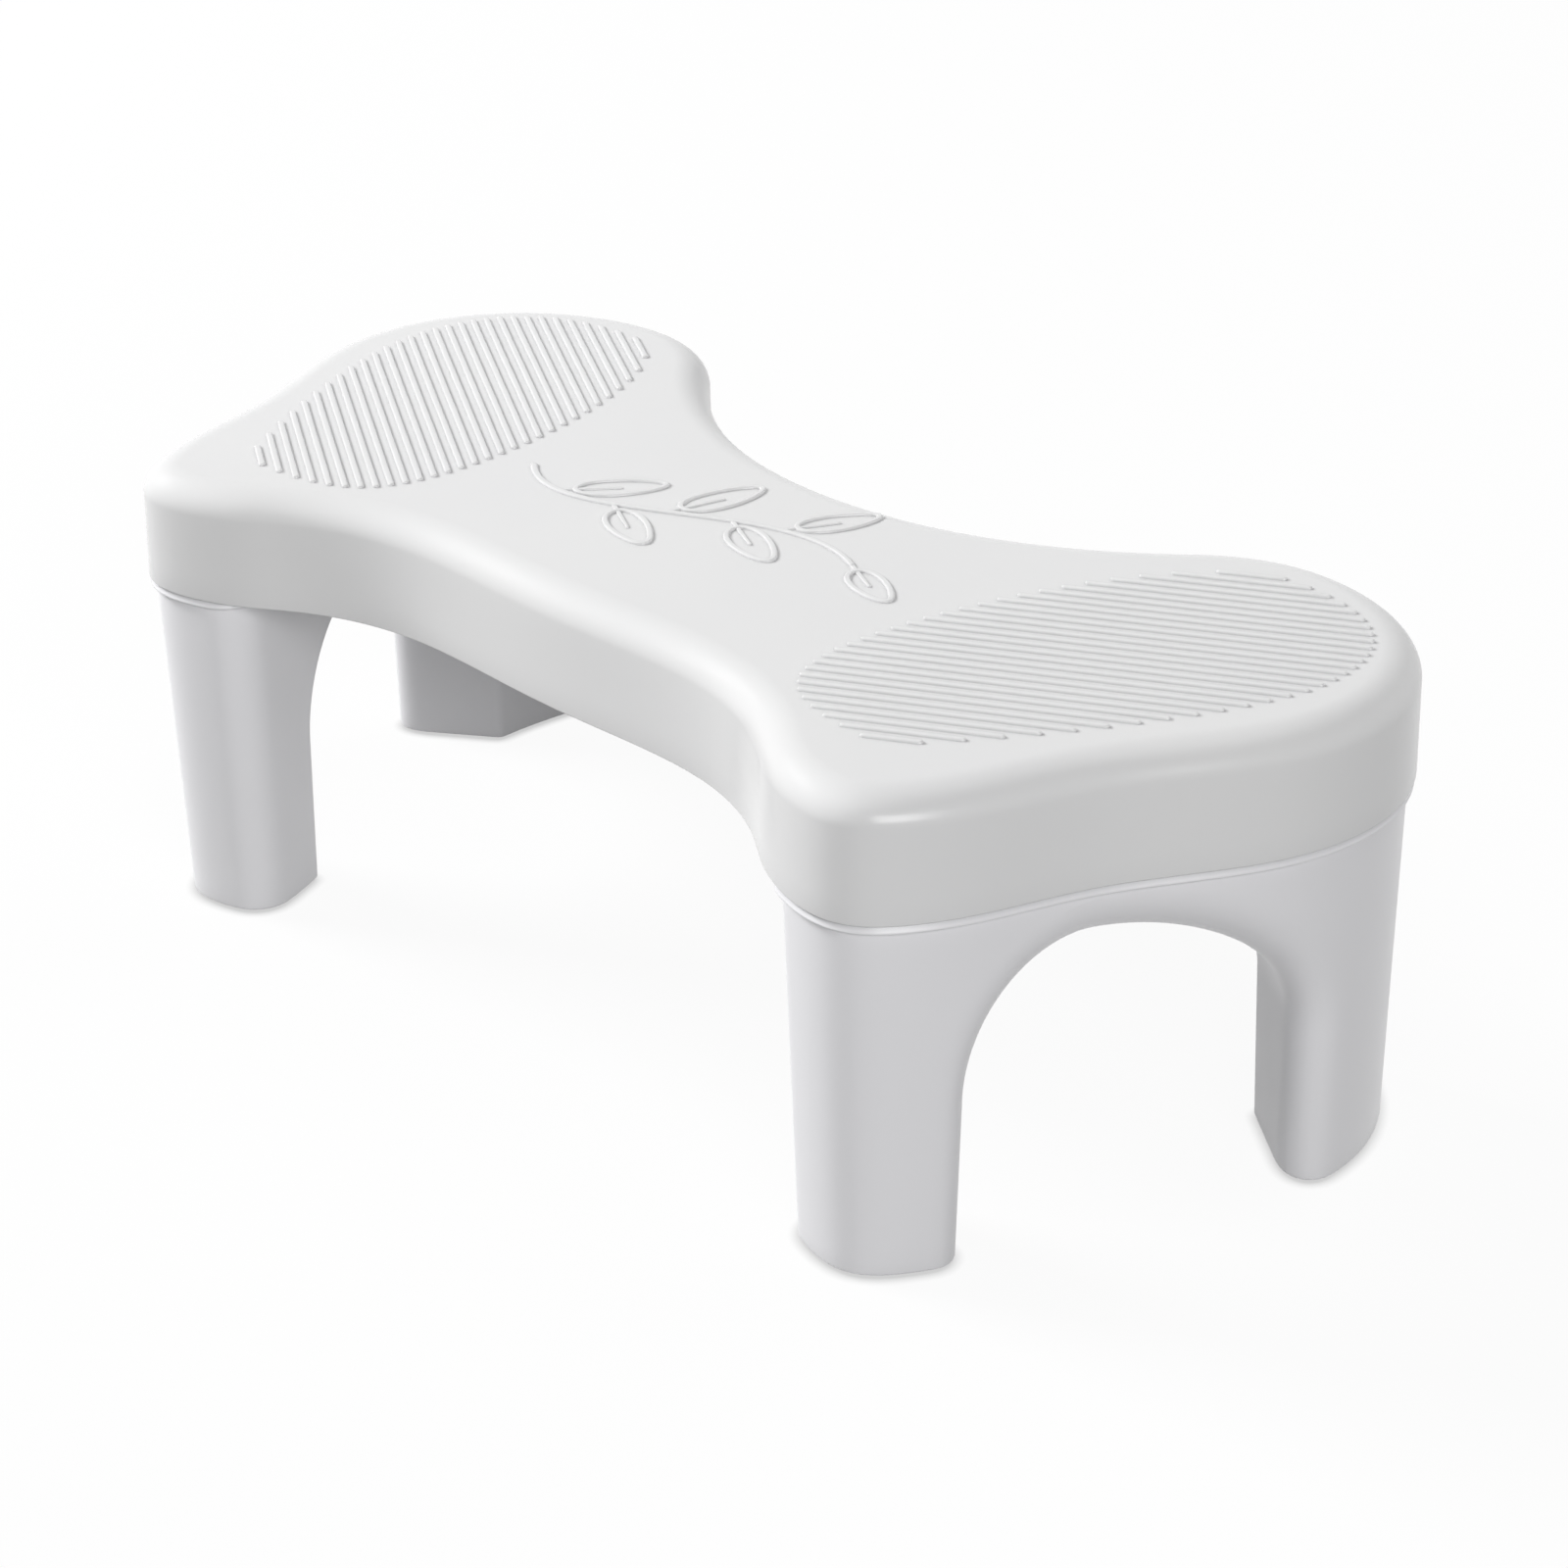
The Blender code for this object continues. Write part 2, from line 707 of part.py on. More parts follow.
def frame_skin(inset, bottom):
    """Rows of points over one skin of a leg frame, from foot to foot over the arch."""
    upper = frame_walls(inset)
    near_floor = frame_walls(inset, NEAR_OUTER_TAPER, NEAR_INNER_TAPER)
    far_floor = frame_walls(inset, FAR_OUTER_TAPER, FAR_INNER_TAPER)
    outer, inner = [TaperedWall(*lines) for lines in zip(upper, near_floor, far_floor)]
    near_round = NEAR_ARCH_ROUND - inset
    far_round = FAR_ARCH_ROUND - inset
    outer_shares, inner_shares = border_shares()
    top_steps = len(outer_shares) - 1
    outer_arch = arch_stations(outer, ARCH_OUTER_SHARES, inset, bottom, top_steps)
    inner_arch = arch_stations(inner, ARCH_INNER_SHARES, inset, bottom, top_steps)
    outer_border = border_stations(outer, outer_arch, outer_shares)
    inner_border = border_stations(inner, inner_arch, inner_shares)
    near_end = outer_arch[0][0] - near_round
    far_end = outer_arch[-1][0] + far_round
    outer_near, outer_far = row_parts(outer, near_end, far_end, OUTER_ROWS)
    inner_near, inner_far = row_parts(inner, inner_arch[0][0], inner_arch[-1][0], INNER_ROWS)
    rows = []
    for index in range(len(outer_arch)):
        blend = index / (len(outer_arch) - 1)
        place, height, across, up = outer_arch[index]
        inner_place, inner_height, _, _ = inner_arch[index]
        rounding = near_round + (far_round - near_round) * blend
        row = []
        for near_part, far_part in reversed(list(zip(inner_near, inner_far))):
            part = near_part + (far_part - near_part) * blend
            end, end_height = inner_border[index]
            row.append(inner.point(inner_place + (end - inner_place) * part,
                                   inner_height + (end_height - inner_height) * part))
        depth = (row[-1] - outer.point(place, height)).normalized()
        for step in range(ARCH_ROUND_STEPS + 1):
            turn = pi / 2 * step / ARCH_ROUND_STEPS
            spread = rounding * (1 - cos(turn))
            surface = outer.point(place + across * spread, height + up * spread)
            row.append(surface + depth * rounding * (1 - sin(turn)))
        place += across * rounding
        height += up * rounding
        for near_part, far_part in list(zip(outer_near, outer_far))[1:]:
            part = near_part + (far_part - near_part) * blend
            end, end_height = outer_border[index]
            row.append(outer.point(place + (end - place) * part,
                                   height + (end_height - height) * part))
        rows.append(row)
    return rows


def frame_loop(inset, height, outer_shares, inner_shares):
    """A closed loop round a whole leg frame at one height."""
    outer, inner = frame_walls(inset)
    places = line_shares(outer)
    inner_places = line_shares(inner)
    line = [along(outer, places, share) for share in outer_shares]
    back = [along(inner, inner_places, share) for share in reversed(inner_shares[1:-1])]
    return at_height(line + back, height)


def border_loop(rows):
    """The upper edge of a skin as a closed loop, along the outer wall and back."""
    first = JAMB_STEPS + SHOULDER_STEPS
    upper = rows[first:len(rows) - first]
    return [row[-1] for row in upper] + [row[0] for row in reversed(upper[1:-1])]


def collar_loops():
    """The bead and the upstand, as loops from the bead's underside to the rim's inner edge."""
    outer_shares, inner_shares = border_shares()
    profile = []
    for step in range(1, BEAD_STEPS):
        angle = pi * step / BEAD_STEPS
        rise = BEAD_HEIGHT * (1 - cos(angle)) / 2
        profile.append((-BEAD_REACH * sin(angle), BEAD_BOTTOM + rise))
    profile.append((-UPSTAND_STEP, BEAD_TOP))
    profile.append((-UPSTAND_STEP, UPSTAND_TOP))
    profile.append((UPSTAND_WALL - UPSTAND_STEP, UPSTAND_TOP))
    return [frame_loop(inset, height, outer_shares, inner_shares) for inset, height in profile]


def leg_foot(builder, rows, station):
    """The underside of one leg, with the recess for its pad."""
    section = [plan(point.x, point.y) for point in rows[station][:-1]]
    if station == 0:
        section.reverse()
    recess = shifted(section, PAD_MARGIN, closed=True)
    add_loops(builder, [at_height(section, LEG_BOTTOM), at_height(recess, LEG_BOTTOM),
                        at_height(recess, RECESS_TOP)], cap_last=True)
    return section


def add_catch_block(builder, share, side, margin, reach):
    """A block on the inner face of an upstand, or the wider cutter for its window."""
    line = inner_wall_line(0)
    shares = line_shares(line)
    place = along(line, shares, share)
    ahead = along(line, shares, share + CATCH_WIDTH / line_length(line))
    direction = (ahead - place).normalized()
    outward = Vector((-direction.y, direction.x))
    half = CATCH_WIDTH / 2 + margin
    face = UPSTAND_STEP
    top = UPSTAND_TOP - CATCH_SETDOWN + margin
    bottom = UPSTAND_TOP - CATCH_SETDOWN - CATCH_HEIGHT - margin
    tip = face + reach
    root = face - UPSTAND_WALL / 2 if margin == 0 else face + CLEARANCE / 2
    crest = top - CATCH_HEIGHT / 2 if margin == 0 else top
    section = ((root, bottom), (tip, bottom), (tip, crest), (root, top))
    loops = []
    for shift in (-half, half):
        base = place + direction * shift
        loop = []
        for distance, height in section:
            point = base + outward * distance
            loop.append(Vector((point.x * side, point.y, height)))
        loops.append(loop)
    add_loops(builder, loops, cap_first=True, cap_last=True)


def stem_place(section):
    """The middle of a leg's section, where the pad's stem goes through the leg."""
    low_x = min(point.x for point in section)
    high_x = max(point.x for point in section)
    low_y = min(point.y for point in section)
    high_y = max(point.y for point in section)
    return plan(low_x + (high_x - low_x) * STEM_PLACE_SHARE,
                low_y + (high_y - low_y) * STEM_PLACE_SHARE)


def stem_holes(sections):
    builder = bmesh.new()
    for section in sections:
        centre = stem_place(section)
        hole = [centre + heading(2 * pi * step / STEM_SIDES) * (STEM_RADIUS + CLEARANCE)
                for step in range(STEM_SIDES)]
        prism(builder, hole, LEG_BOTTOM, CAVITY_BOTTOM + CUT_OVERRUN)
    return new_mesh_object("holes", builder)


def leg_sections():
    """The plan of both feet of the right-hand frame, anticlockwise."""
    rows = frame_skin(0, LEG_BOTTOM)
    near = [plan(point.x, point.y) for point in reversed(rows[0][:-1])]
    far = [plan(point.x, point.y) for point in rows[-1][:-1]]
    return near, far


def make_leg_frame(name, side, material):
    builder = bmesh.new()
    skin = frame_skin(0, LEG_BOTTOM)
    cavity = frame_skin(FRAME_WALL, CAVITY_BOTTOM)
    add_loops(builder, skin, closed=False)
    add_loops(builder, cavity, closed=False)
    add_loops(builder, [border_loop(skin)] + collar_loops() + [border_loop(cavity)])
    sections = [leg_foot(builder, skin, station) for station in (0, len(skin) - 1)]
    for station in (0, len(cavity) - 1):
        floor = [builder.verts.new(point) for point in cavity[station][:-1]]
        builder.faces.new(floor)
    frame = new_mesh_object(name, welded(builder), material)
    combine(frame, stem_holes(sections), "DIFFERENCE")
    catches = bmesh.new()
    for share in CATCH_PLACE_SHARES:
        add_catch_block(catches, share, 1, 0, CATCH_REACH)
    combine(frame, new_mesh_object("catches", catches), "UNION")
    if side < 0:
        frame.data.transform(Matrix.Scale(-1, 4, (1, 0, 0)))
        frame.data.flip_normals()
    shade(frame)
    return frame


# Rubber foot pads
def make_foot_pad(name, section, side, material):
    """A flat pad that fills the recess, with a headed stem up through the leg's floor."""
    plate = shifted(section, PAD_MARGIN + CLEARANCE, closed=True)
    sole = shifted(section, PAD_MARGIN + CLEARANCE + PAD_CHAMFER, closed=True)
    top = RECESS_TOP - CLEARANCE
    builder = bmesh.new()
    add_loops(builder, [at_height(sole, 0), at_height(plate, PAD_CHAMFER),
                        at_height(plate, top)], cap_first=True, cap_last=True)
    pad = new_mesh_object(name, builder, material)
    centre = stem_place(section)
    head_bottom = CAVITY_BOTTOM + CLEARANCE
    head_top = head_bottom + STEM_HEAD_HEIGHT
    profile = ((STEM_RADIUS, top - PAD_RECESS / 2), (STEM_RADIUS, head_bottom),
               (STEM_HEAD_RADIUS, head_bottom), (STEM_HEAD_RADIUS, head_bottom + STEM_HEAD_LAND),
               (STEM_RADIUS, head_top))
    loops = []
    for radius, height in profile:
        circle = [centre + heading(2 * pi * step / STEM_SIDES) * radius
                  for step in range(STEM_SIDES)]
        loops.append(at_height(circle, height))
    stem = bmesh.new()
    add_loops(stem, loops, cap_first=True, cap_last=True)
    combine(pad, new_mesh_object("stem", stem), "UNION")
    if side < 0:
        pad.data.transform(Matrix.Scale(-1, 4, (1, 0, 0)))
        pad.data.flip_normals()
    shade(pad)
    return pad


def clear_scene():
    for existing in list(bpy.data.objects):
        bpy.data.objects.remove(existing)


def main():
    clear_scene()
    top_plastic = plastic("white_top_plastic", (0.86, 0.86, 0.86), 0.32)
    leg_plastic = plastic("white_leg_plastic", (0.84, 0.84, 0.85), 0.36)
    rubber = plastic("grey_foot_rubber", (0.45, 0.45, 0.46), 0.75)
    make_top_shell(top_plastic)
    near_section, far_section = leg_sections()
    for word, side in (("right", 1), ("left", -1)):
        make_leg_frame("leg_frame_" + word, side, leg_plastic)
        make_foot_pad("foot_pad_near_" + word, near_section, side, rubber)
        make_foot_pad("foot_pad_far_" + word, far_section, side, rubber)


main()
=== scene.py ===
"""Looks of the waisted footstool: smooth moulded surfaces, plastic and rubber finishes, a studio.

The shell, the leg frames and the pads are drawn again from the sizes of the part at a finer
resolution and replace their CAD nodes. The raised ribs are pieces of their own, and the leaf
sprig on the top is only here. Metres, +Z up, the origin on the floor below the middle of the
top, -Y the near side.
"""

import json
from math import cos, pi, radians, sin, tan

import bmesh
import bpy
import numpy as np
from mathutils import Matrix, Vector

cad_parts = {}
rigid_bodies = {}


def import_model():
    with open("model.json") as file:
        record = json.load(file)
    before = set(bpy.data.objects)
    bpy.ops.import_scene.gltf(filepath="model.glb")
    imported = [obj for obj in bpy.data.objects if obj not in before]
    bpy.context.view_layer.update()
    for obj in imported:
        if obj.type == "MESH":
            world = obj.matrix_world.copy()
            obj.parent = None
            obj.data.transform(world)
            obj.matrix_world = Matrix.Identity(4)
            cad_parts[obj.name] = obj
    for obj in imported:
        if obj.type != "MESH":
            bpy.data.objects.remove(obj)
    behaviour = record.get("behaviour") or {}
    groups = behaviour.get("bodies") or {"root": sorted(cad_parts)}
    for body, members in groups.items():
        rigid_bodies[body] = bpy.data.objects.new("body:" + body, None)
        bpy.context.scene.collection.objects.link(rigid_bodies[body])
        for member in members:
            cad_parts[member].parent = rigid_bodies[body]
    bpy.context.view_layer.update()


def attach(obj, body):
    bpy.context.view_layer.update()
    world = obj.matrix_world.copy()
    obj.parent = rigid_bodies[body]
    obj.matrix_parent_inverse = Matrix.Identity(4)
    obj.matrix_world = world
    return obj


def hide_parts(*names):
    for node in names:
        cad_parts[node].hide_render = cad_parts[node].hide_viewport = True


# Sizes of the part
LENGTH = 0.481
DEPTH = 0.233
HEIGHT = 0.165
SKIRT_HEIGHT = 0.0407
SHELL_WALL = 0.0028
EDGE_ROUND_WIDTH = 0.013
EDGE_ROUND_HEIGHT = 0.0115
SKIRT_DRAFT = 0.0005
SKIRT_LIP_ROUND = 0.0008
NEAR_WAIST = 0.0355
FAR_WAIST = 0.0682
STIFFENER_THICKNESS = 0.002
STIFFENER_PITCH = 0.0405
SOCKET_WALL = 0.0025
SOCKET_STOP = 0.002
TREAD_WIDTH = 0.121
TREAD_LENGTH = 0.179
TREAD_CENTRE_X = 0.159
TREAD_CENTRE_Y = 0.0073
TREAD_RIB_WIDTH = 0.0022
TREAD_RIB_HEIGHT = 0.0009
TREAD_RIB_PITCH = 0.00512
TREAD_RIB_ANGLE = radians(30.35)
FRAME_SETBACK = 0.0025
NEAR_OUTER_TAPER = 0.0045
NEAR_INNER_TAPER = 0.0005
FAR_OUTER_TAPER = 0.0005
FAR_INNER_TAPER = 0.005
NEAR_TIP_ROUND = 0.0175
FAR_TIP_ROUND = 0.006
TIP_OVERRUN = 0.02
ARCH_SPRING_HEIGHT = 0.0547
ARCH_CROWN_HEIGHT = 0.103
JAMB_FLARE = 0.002
NEAR_ARCH_ROUND = 0.0135
FAR_ARCH_ROUND = 0.02
BEAD_HEIGHT = 0.0025
BEAD_REACH = 0.0021
UPSTAND_HEIGHT = 0.0154
UPSTAND_WALL = 0.0025
CATCH_WIDTH = 0.012
CATCH_HEIGHT = 0.004
CATCH_REACH = 0.0016
CATCH_SETDOWN = 0.0035
CATCH_MARGIN = 0.001
PAD_STAND = 0.0012
PAD_MARGIN = 0.0025
CLEARANCE = 0.0003

# Sizes that only the finish has. The outside of the top's edge is rounded over a smaller height
# than in the part, which brings its highlight closer to the photograph.
EDGE_FALL_HEIGHT = 0.0098
OUTLINE_BLUR = 0.003
ARCH_INNER_ROUND = 0.0022
FOOT_ROUND = 0.0009
BEAD_ROUND = 0.0006
BEAD_TURN = radians(120)
BEAD_LEAN_SHARE = 0.6
PAD_ROUND = 0.0006
PAD_SINK = 0.0003

# Raised ribs and lines. Rings of points run at these shares of the half width, the outermost
# one just under the top face, and below it the sides go down into the top.
RIB_ROOT_WIDTH = 0.0025
LINE_ROOT_WIDTH = 0.0027
LINE_HEIGHT = 0.00085
RIDGE_SINK = 0.00002
RIDGE_DEPTH = 0.0004
RIDGE_POWER = 6
RIDGE_SHARES = (1, 0.95, 0.9, 0.84, 0.77, 0.68, 0.55, 0.3)

# Leaf sprig on the middle of the top: a leaf is its place along the stem, its side and its length
SPRIG_STEM = ((-0.084, -0.014), (-0.042, -0.048), (0.004, 0.030), (0.055, 0.004))
SPRIG_LEAVES = ((0.17, 1, 0.031), (0.33, -1, 0.030), (0.46, 1, 0.032), (0.62, -1, 0.030),
                (0.74, 1, 0.029), (0.995, 0, 0.026))
LEAF_ANGLE = radians(50)
LEAF_STALK = 0.006
LEAF_STEPS = 64
LEAF_EGG = 0.22
LEAF_CURL = 0.06
LEAF_WIDTH_SHARE = 0.42
LEAF_LINE_SHARE = 0.85
STEM_TAPER = 0.8
VEIN_SHARE = 0.7
VEIN_TAPER = 0.7
VEIN_REACH = (0.0, 0.5)
AHEAD_SHARE = 0.01

# Shares and angles of the curves, as in the part
NEAR_BEND_SHARES = (0.52, 0.42)
NEAR_CORNER_X_SHARE = 0.684
NEAR_FLANK_SHARES = (0.8045, -0.785)
END_WAIST_SHARES = (0.883, -0.331)
END_BULGE_Y_SHARE = 0.324
FAR_CORNER_X_SHARE = 0.668
FAR_BEND_SHARES = (0.491, 0.27)
NEAR_BEND_ANGLE = radians(-36.8)
NEAR_FLANK_ANGLE = radians(64.4)
END_WAIST_ANGLE = radians(64.5)
FAR_BEND_ANGLE = radians(224.4)
OUTLINE_HANDLE_SHARES = (
    (0.39, 0.40), (0.33, 0.30), (0.39, 0.39), (0.33, 0.34),
    (0.38, 0.38), (0.38, 0.39), (0.33, 0.36), (0.38, 0.34),
)
TREAD_NODE_SHARES = ((0.0, 0.258), (0.472, 0.0), (1.0, 0.707), (0.533, 1.0))
TREAD_HANDLE_SHARES = ((0.49, 0.58), (0.04, 0.29), (0.47, 0.45), (0.24, 0.35))
NEAR_TIP_SHARE = 0.22
FAR_TIP_SHARE = 0.686
INNER_WALL_START_ANGLE = radians(81.3)
INNER_WALL_END_ANGLE = radians(103.3)
INNER_WALL_HANDLE_SHARES = (0.255, 0.50)
ARCH_OUTER_SHARES = (0.269, 0.639)
ARCH_INNER_SHARES = (0.1615, 0.7585)
ARCH_APEX_SHARE = 0.377
CATCH_PLACE_SHARES = (0.3, 0.7)

# Surface of the plastic
TOP_COLOUR = (0.85, 0.85, 0.85)
TOP_TINT = (0.84, 0.84, 0.845)
TOP_ROUGHNESS = 0.25
LEG_COLOUR = (0.925, 0.922, 0.942)
LEG_TINT = (0.917, 0.914, 0.936)
LEG_ROUGHNESS = 0.3
PLASTIC_IOR = 1.49
CLOUD_SCALE = 9.0
CLOUD_LIMITS = (0.35, 0.65)
DUST_SCALE = 520.0
DUST_LIMITS = (0.72, 0.8)
DUST_SHARE = 0.03
DUST_COLOUR = (0.55, 0.54, 0.52)
# Painted shade: the plastic darkens towards a grey where nearby surfaces close it in, within this
# reach
PAINTED_SHADE_REACH = 0.0016
PAINTED_SHADE_SHARE = 1.2
PAINTED_SHADE_COLOUR = (0.42, 0.42, 0.43)
GLOSS_SCALE = 30.0
GLOSS_LIMITS = (0.3, 0.7)
GLOSS_SPREAD = 0.02
GRAIN_SCALE = 1500.0
GRAIN_DEPTH = 0.000004
PEEL_SCALE = 170.0
PEEL_SHARE = 1.5

# Surface of the rubber
RUBBER_COLOUR = (0.30, 0.30, 0.31)
RUBBER_ROUGHNESS = 0.75
WEAR_SCALE = 60.0
WEAR_LIMITS = (0.4, 0.7)
WEAR_GAIN = 1.35
PEBBLE_SCALE = 900.0
PEBBLE_STRENGTH = 0.6
PEBBLE_DEPTH = 0.0002

# Studio: a lamp is its name, the direction that it comes from in degrees, its watts, its width
# and height, and whether it lights matt and glossy surfaces
LAMPS = (
    ("key", 202, 32, 182, (1.6, 1.2), True, False),
    ("glint", 185, 35, 6, (1.6, 1.2), False, True),
    ("left_low", 193, 10, 29, (2.4, 2.0), True, False),
    ("front_low", 285, 8, 22, (2.4, 2.0), True, False),
    ("side", 331, 24, 94, (2.4, 2.0), True, True),
    ("back_high", 75, 60, 29, (2.4, 2.0), True, False),
    ("back_low", 90, 18, 38, (2.4, 2.0), True, False),
)
LAMP_DISTANCE = 4.4
LAMP_TARGET_HEIGHT = 0.1
ROOM_LIGHT = 0.03
ROOM_COLOUR = (0.985, 0.99, 1.0)
SEEN_COLOUR = (0.99, 0.99, 0.99)
FLOOR_SIZE = 8.0
FLOOR_BOUNCE = (0.2, 0.2, 0.2)
FLOOR_ROUGHNESS = 0.9
FLOOR_SHADOW = 0.06
FLOOR_GLOW = 0.935
# Painted contact shade on the floor: how far the occlusion looks, its limits and the dimmest glow
PAINTED_CONTACT_REACH = 0.004
PAINTED_CONTACT_LIMITS = (0.3, 0.98)
PAINTED_CONTACT_SHADE = 0.6

# Counts of points and steps, and how the rows crowd towards the arch
OUTLINE_POINTS = 720
CURVE_STEPS = 60
OVAL_STEPS = 30
EDGE_STEPS = 18
INNER_EDGE_STEPS = 8
STIFFENER_EDGE_STEPS = 6
SKIRT_LEVELS = (0.25, 0.5, 0.75)
LIP_STEPS = 4
FOOT_STEPS = 4
PAD_STEPS = 3
RIB_POINTS = 6
RIDGE_END_STEPS = 6
STEM_STEPS = 80
STALK_POINTS = 8
VEIN_POINTS = 12
SOCKET_LINE_POINTS = 120
SOCKET_COLUMNS = 48
FRAME_LINE_POINTS = 150
JAMB_STEPS = 10
SHOULDER_STEPS = 10
TOP_STEPS = 96
OUTER_ROWS = 26
INNER_ROWS = 16
ROUND_STEPS = 9
TIP_STEPS = 16
BEAD_STEPS = 8
INNER_ROW_POWER = 1.7
OUTER_ROW_POWER = 1.5
LEAST_POINTS = 12

# Small distances between points
WELD_REACH = 0.000002
TRIM_GAP = 0.00001
CORNER_GAP = 0.00005
LOOK_AHEAD = 0.001
SHRINK_STEP = 0.0003
SHRINK_SPACING = 0.0012

# Edges that bend more than this look sharp
TOP_SHARP_ANGLE = radians(38)
RIDGE_SHARP_ANGLE = radians(60)
LEG_SHARP_ANGLE = radians(40)

# Heights and a step that follow from the sizes
SKIRT_BOTTOM = HEIGHT - SKIRT_HEIGHT
BEAD_TOP = SKIRT_BOTTOM - CLEARANCE
BEAD_BOTTOM = BEAD_TOP - BEAD_HEIGHT
UPSTAND_TOP = BEAD_TOP + UPSTAND_HEIGHT
STIFFENER_BOTTOM = UPSTAND_TOP + CLEARANCE
LEG_BOTTOM = PAD_STAND
UPSTAND_STEP = FRAME_SETBACK - SHELL_WALL - CLEARANCE


# Plane curves
def heading(angle):
    return np.array([cos(angle), sin(angle)])


def cubic(start, first, second, end, steps):
    t = np.linspace(0, 1, steps + 1)[:, None]
    s = 1 - t
    return start * s**3 + 3 * first * s * s * t + 3 * second * s * t * t + end * t**3


def bezier(start, start_angle, end, end_angle, handle_shares, steps):
    """A cubic that leaves and arrives at given angles, with handles as shares of its chord."""
    chord = np.linalg.norm(end - start)
    first = start + heading(start_angle) * chord * handle_shares[0]
    second = end - heading(end_angle) * chord * handle_shares[1]
    return cubic(start, first, second, end, steps)


def unit(vector):
    return vector / np.linalg.norm(vector)


def joined(curves):
    """One line from curves that start where the one before ends."""
    return np.concatenate([curve[:-1] for curve in curves] + [curves[-1][-1:]])


def reach(line):
    """The distance along a line of each of its points."""
    return np.concatenate([[0], np.cumsum(np.linalg.norm(np.diff(line, axis=0), axis=1))])


def at(line, distances):
    """The points at given distances along a line."""
    places = reach(line)
    return np.stack([np.interp(distances, places, line[:, axis]) for axis in (0, 1)], -1)


def resampled(line, count):
    return at(line, np.linspace(0, reach(line)[-1], count))


def normals(line, closed=False):
    """The direction to the left of a line at each point."""
    if closed:
        along = np.roll(line, -1, axis=0) - np.roll(line, 1, axis=0)
    else:
        along = np.gradient(line, axis=0)
    along /= np.linalg.norm(along, axis=1)[:, None]
    return np.stack([-along[:, 1], along[:, 0]], -1)


def shifted(line, distance, closed=False):
    return line + normals(line, closed) * distance


def outline():
    """The whole outline of the top, anticlockwise from the middle of the near side."""
    half_length = LENGTH / 2
    half_depth = DEPTH / 2
    nodes = (
        ((0, NEAR_WAIST - half_depth), 0),
        ((NEAR_BEND_SHARES[0] * half_length, NEAR_BEND_SHARES[1] * NEAR_WAIST - half_depth),
         NEAR_BEND_ANGLE),
        ((NEAR_CORNER_X_SHARE * half_length, -half_depth), 0),
        ((NEAR_FLANK_SHARES[0] * half_length, NEAR_FLANK_SHARES[1] * half_depth),
         NEAR_FLANK_ANGLE),
        ((END_WAIST_SHARES[0] * half_length, END_WAIST_SHARES[1] * half_depth),
         END_WAIST_ANGLE),
        ((half_length, END_BULGE_Y_SHARE * half_depth), pi / 2),
        ((FAR_CORNER_X_SHARE * half_length, half_depth), pi),
        ((FAR_BEND_SHARES[0] * half_length, half_depth - FAR_BEND_SHARES[1] * FAR_WAIST),
         FAR_BEND_ANGLE),
        ((0, half_depth - FAR_WAIST), pi),
    )
    curves = []
    for index, shares in enumerate(OUTLINE_HANDLE_SHARES):
        start, end = np.array(nodes[index][0]), np.array(nodes[index + 1][0])
        curves.append(bezier(start, nodes[index][1], end, nodes[index + 1][1], shares,
                             CURVE_STEPS))
    right = joined(curves)
    left = right[::-1] * (-1, 1)
    whole = resampled(np.concatenate([right, left[1:]]), OUTLINE_POINTS + 1)[:-1]
    spacing = reach(right)[-1] * 2 / OUTLINE_POINTS
    waves = np.fft.fftfreq(OUTLINE_POINTS)
    damping = np.exp(-2 * (pi * waves * OUTLINE_BLUR / spacing) ** 2)
    return np.stack([np.fft.ifft(np.fft.fft(whole[:, axis]) * damping).real
                     for axis in (0, 1)], -1)


OUTLINE = outline()
RIGHT_EDGE = OUTLINE[:OUTLINE_POINTS // 2 + 1]


def at_height(line, height):
    return np.column_stack([line, np.full(len(line), height)])


# Meshes
def new_object(name, data):
    """An object of its own in the scene."""
    made = bpy.data.objects.new(name, data)
    bpy.context.scene.collection.objects.link(made)
    return made


class Shape:
    """Vertices and faces that are gathered into one object."""

    def __init__(self):
        self.points = []
        self.faces = []
        self.count = 0

    def add(self, loops, closed=True, cap_first=False, cap_last=False):
        """Faces between neighbouring loops, which all have the same number of points."""
        loops = np.asarray(loops, float)
        rows, width, _ = loops.shape
        index = np.arange(rows * width).reshape(rows, width) + self.count
        after = np.roll(index, -1, axis=1)
        if not closed:
            index, after = index[:, :-1], after[:, :-1]
        quads = np.stack([index[:-1], after[:-1], after[1:], index[1:]], -1).reshape(-1, 4)
        self.faces += quads.tolist()
        if cap_first:
            self.faces.append(list(range(self.count, self.count + width)))
        if cap_last:
            last = self.count + (rows - 1) * width
            self.faces.append(list(range(last, last + width)))
        self.points.append(loops.reshape(-1, 3))
        self.count += rows * width

    def made(self, name, material, sharp_angle, mirror=False):
        mesh = bpy.data.meshes.new(name)
        points = np.concatenate(self.points)
        if mirror:
            points = points * (-1, 1, 1)
        mesh.from_pydata(points.tolist(), [], self.faces)
        builder = bmesh.new()
        builder.from_mesh(mesh)
        bmesh.ops.remove_doubles(builder, verts=builder.verts, dist=WELD_REACH)
        bmesh.ops.recalc_face_normals(builder, faces=builder.faces)
        builder.to_mesh(mesh)
        builder.free()
        mesh.materials.append(material)
        mesh.shade_smooth()
        mesh.set_sharp_from_angle(angle=sharp_angle)
        return new_object(name, mesh)


def chords(polygon, origin, direction):
    """Where a straight line enters and leaves a closed outline, as distances along it."""
    side = np.array([-direction[1], direction[0]])
    heights = (polygon - origin) @ side
    following = np.roll(polygon, -1, axis=0)
    next_heights = np.roll(heights, -1)
    crossed = (heights > 0) != (next_heights > 0)
    part = heights[crossed] / (heights[crossed] - next_heights[crossed])
    points = polygon[crossed] + (following[crossed] - polygon[crossed]) * part[:, None]
    places = np.sort((points - origin) @ direction)
    return list(zip(places[::2], places[1::2]))


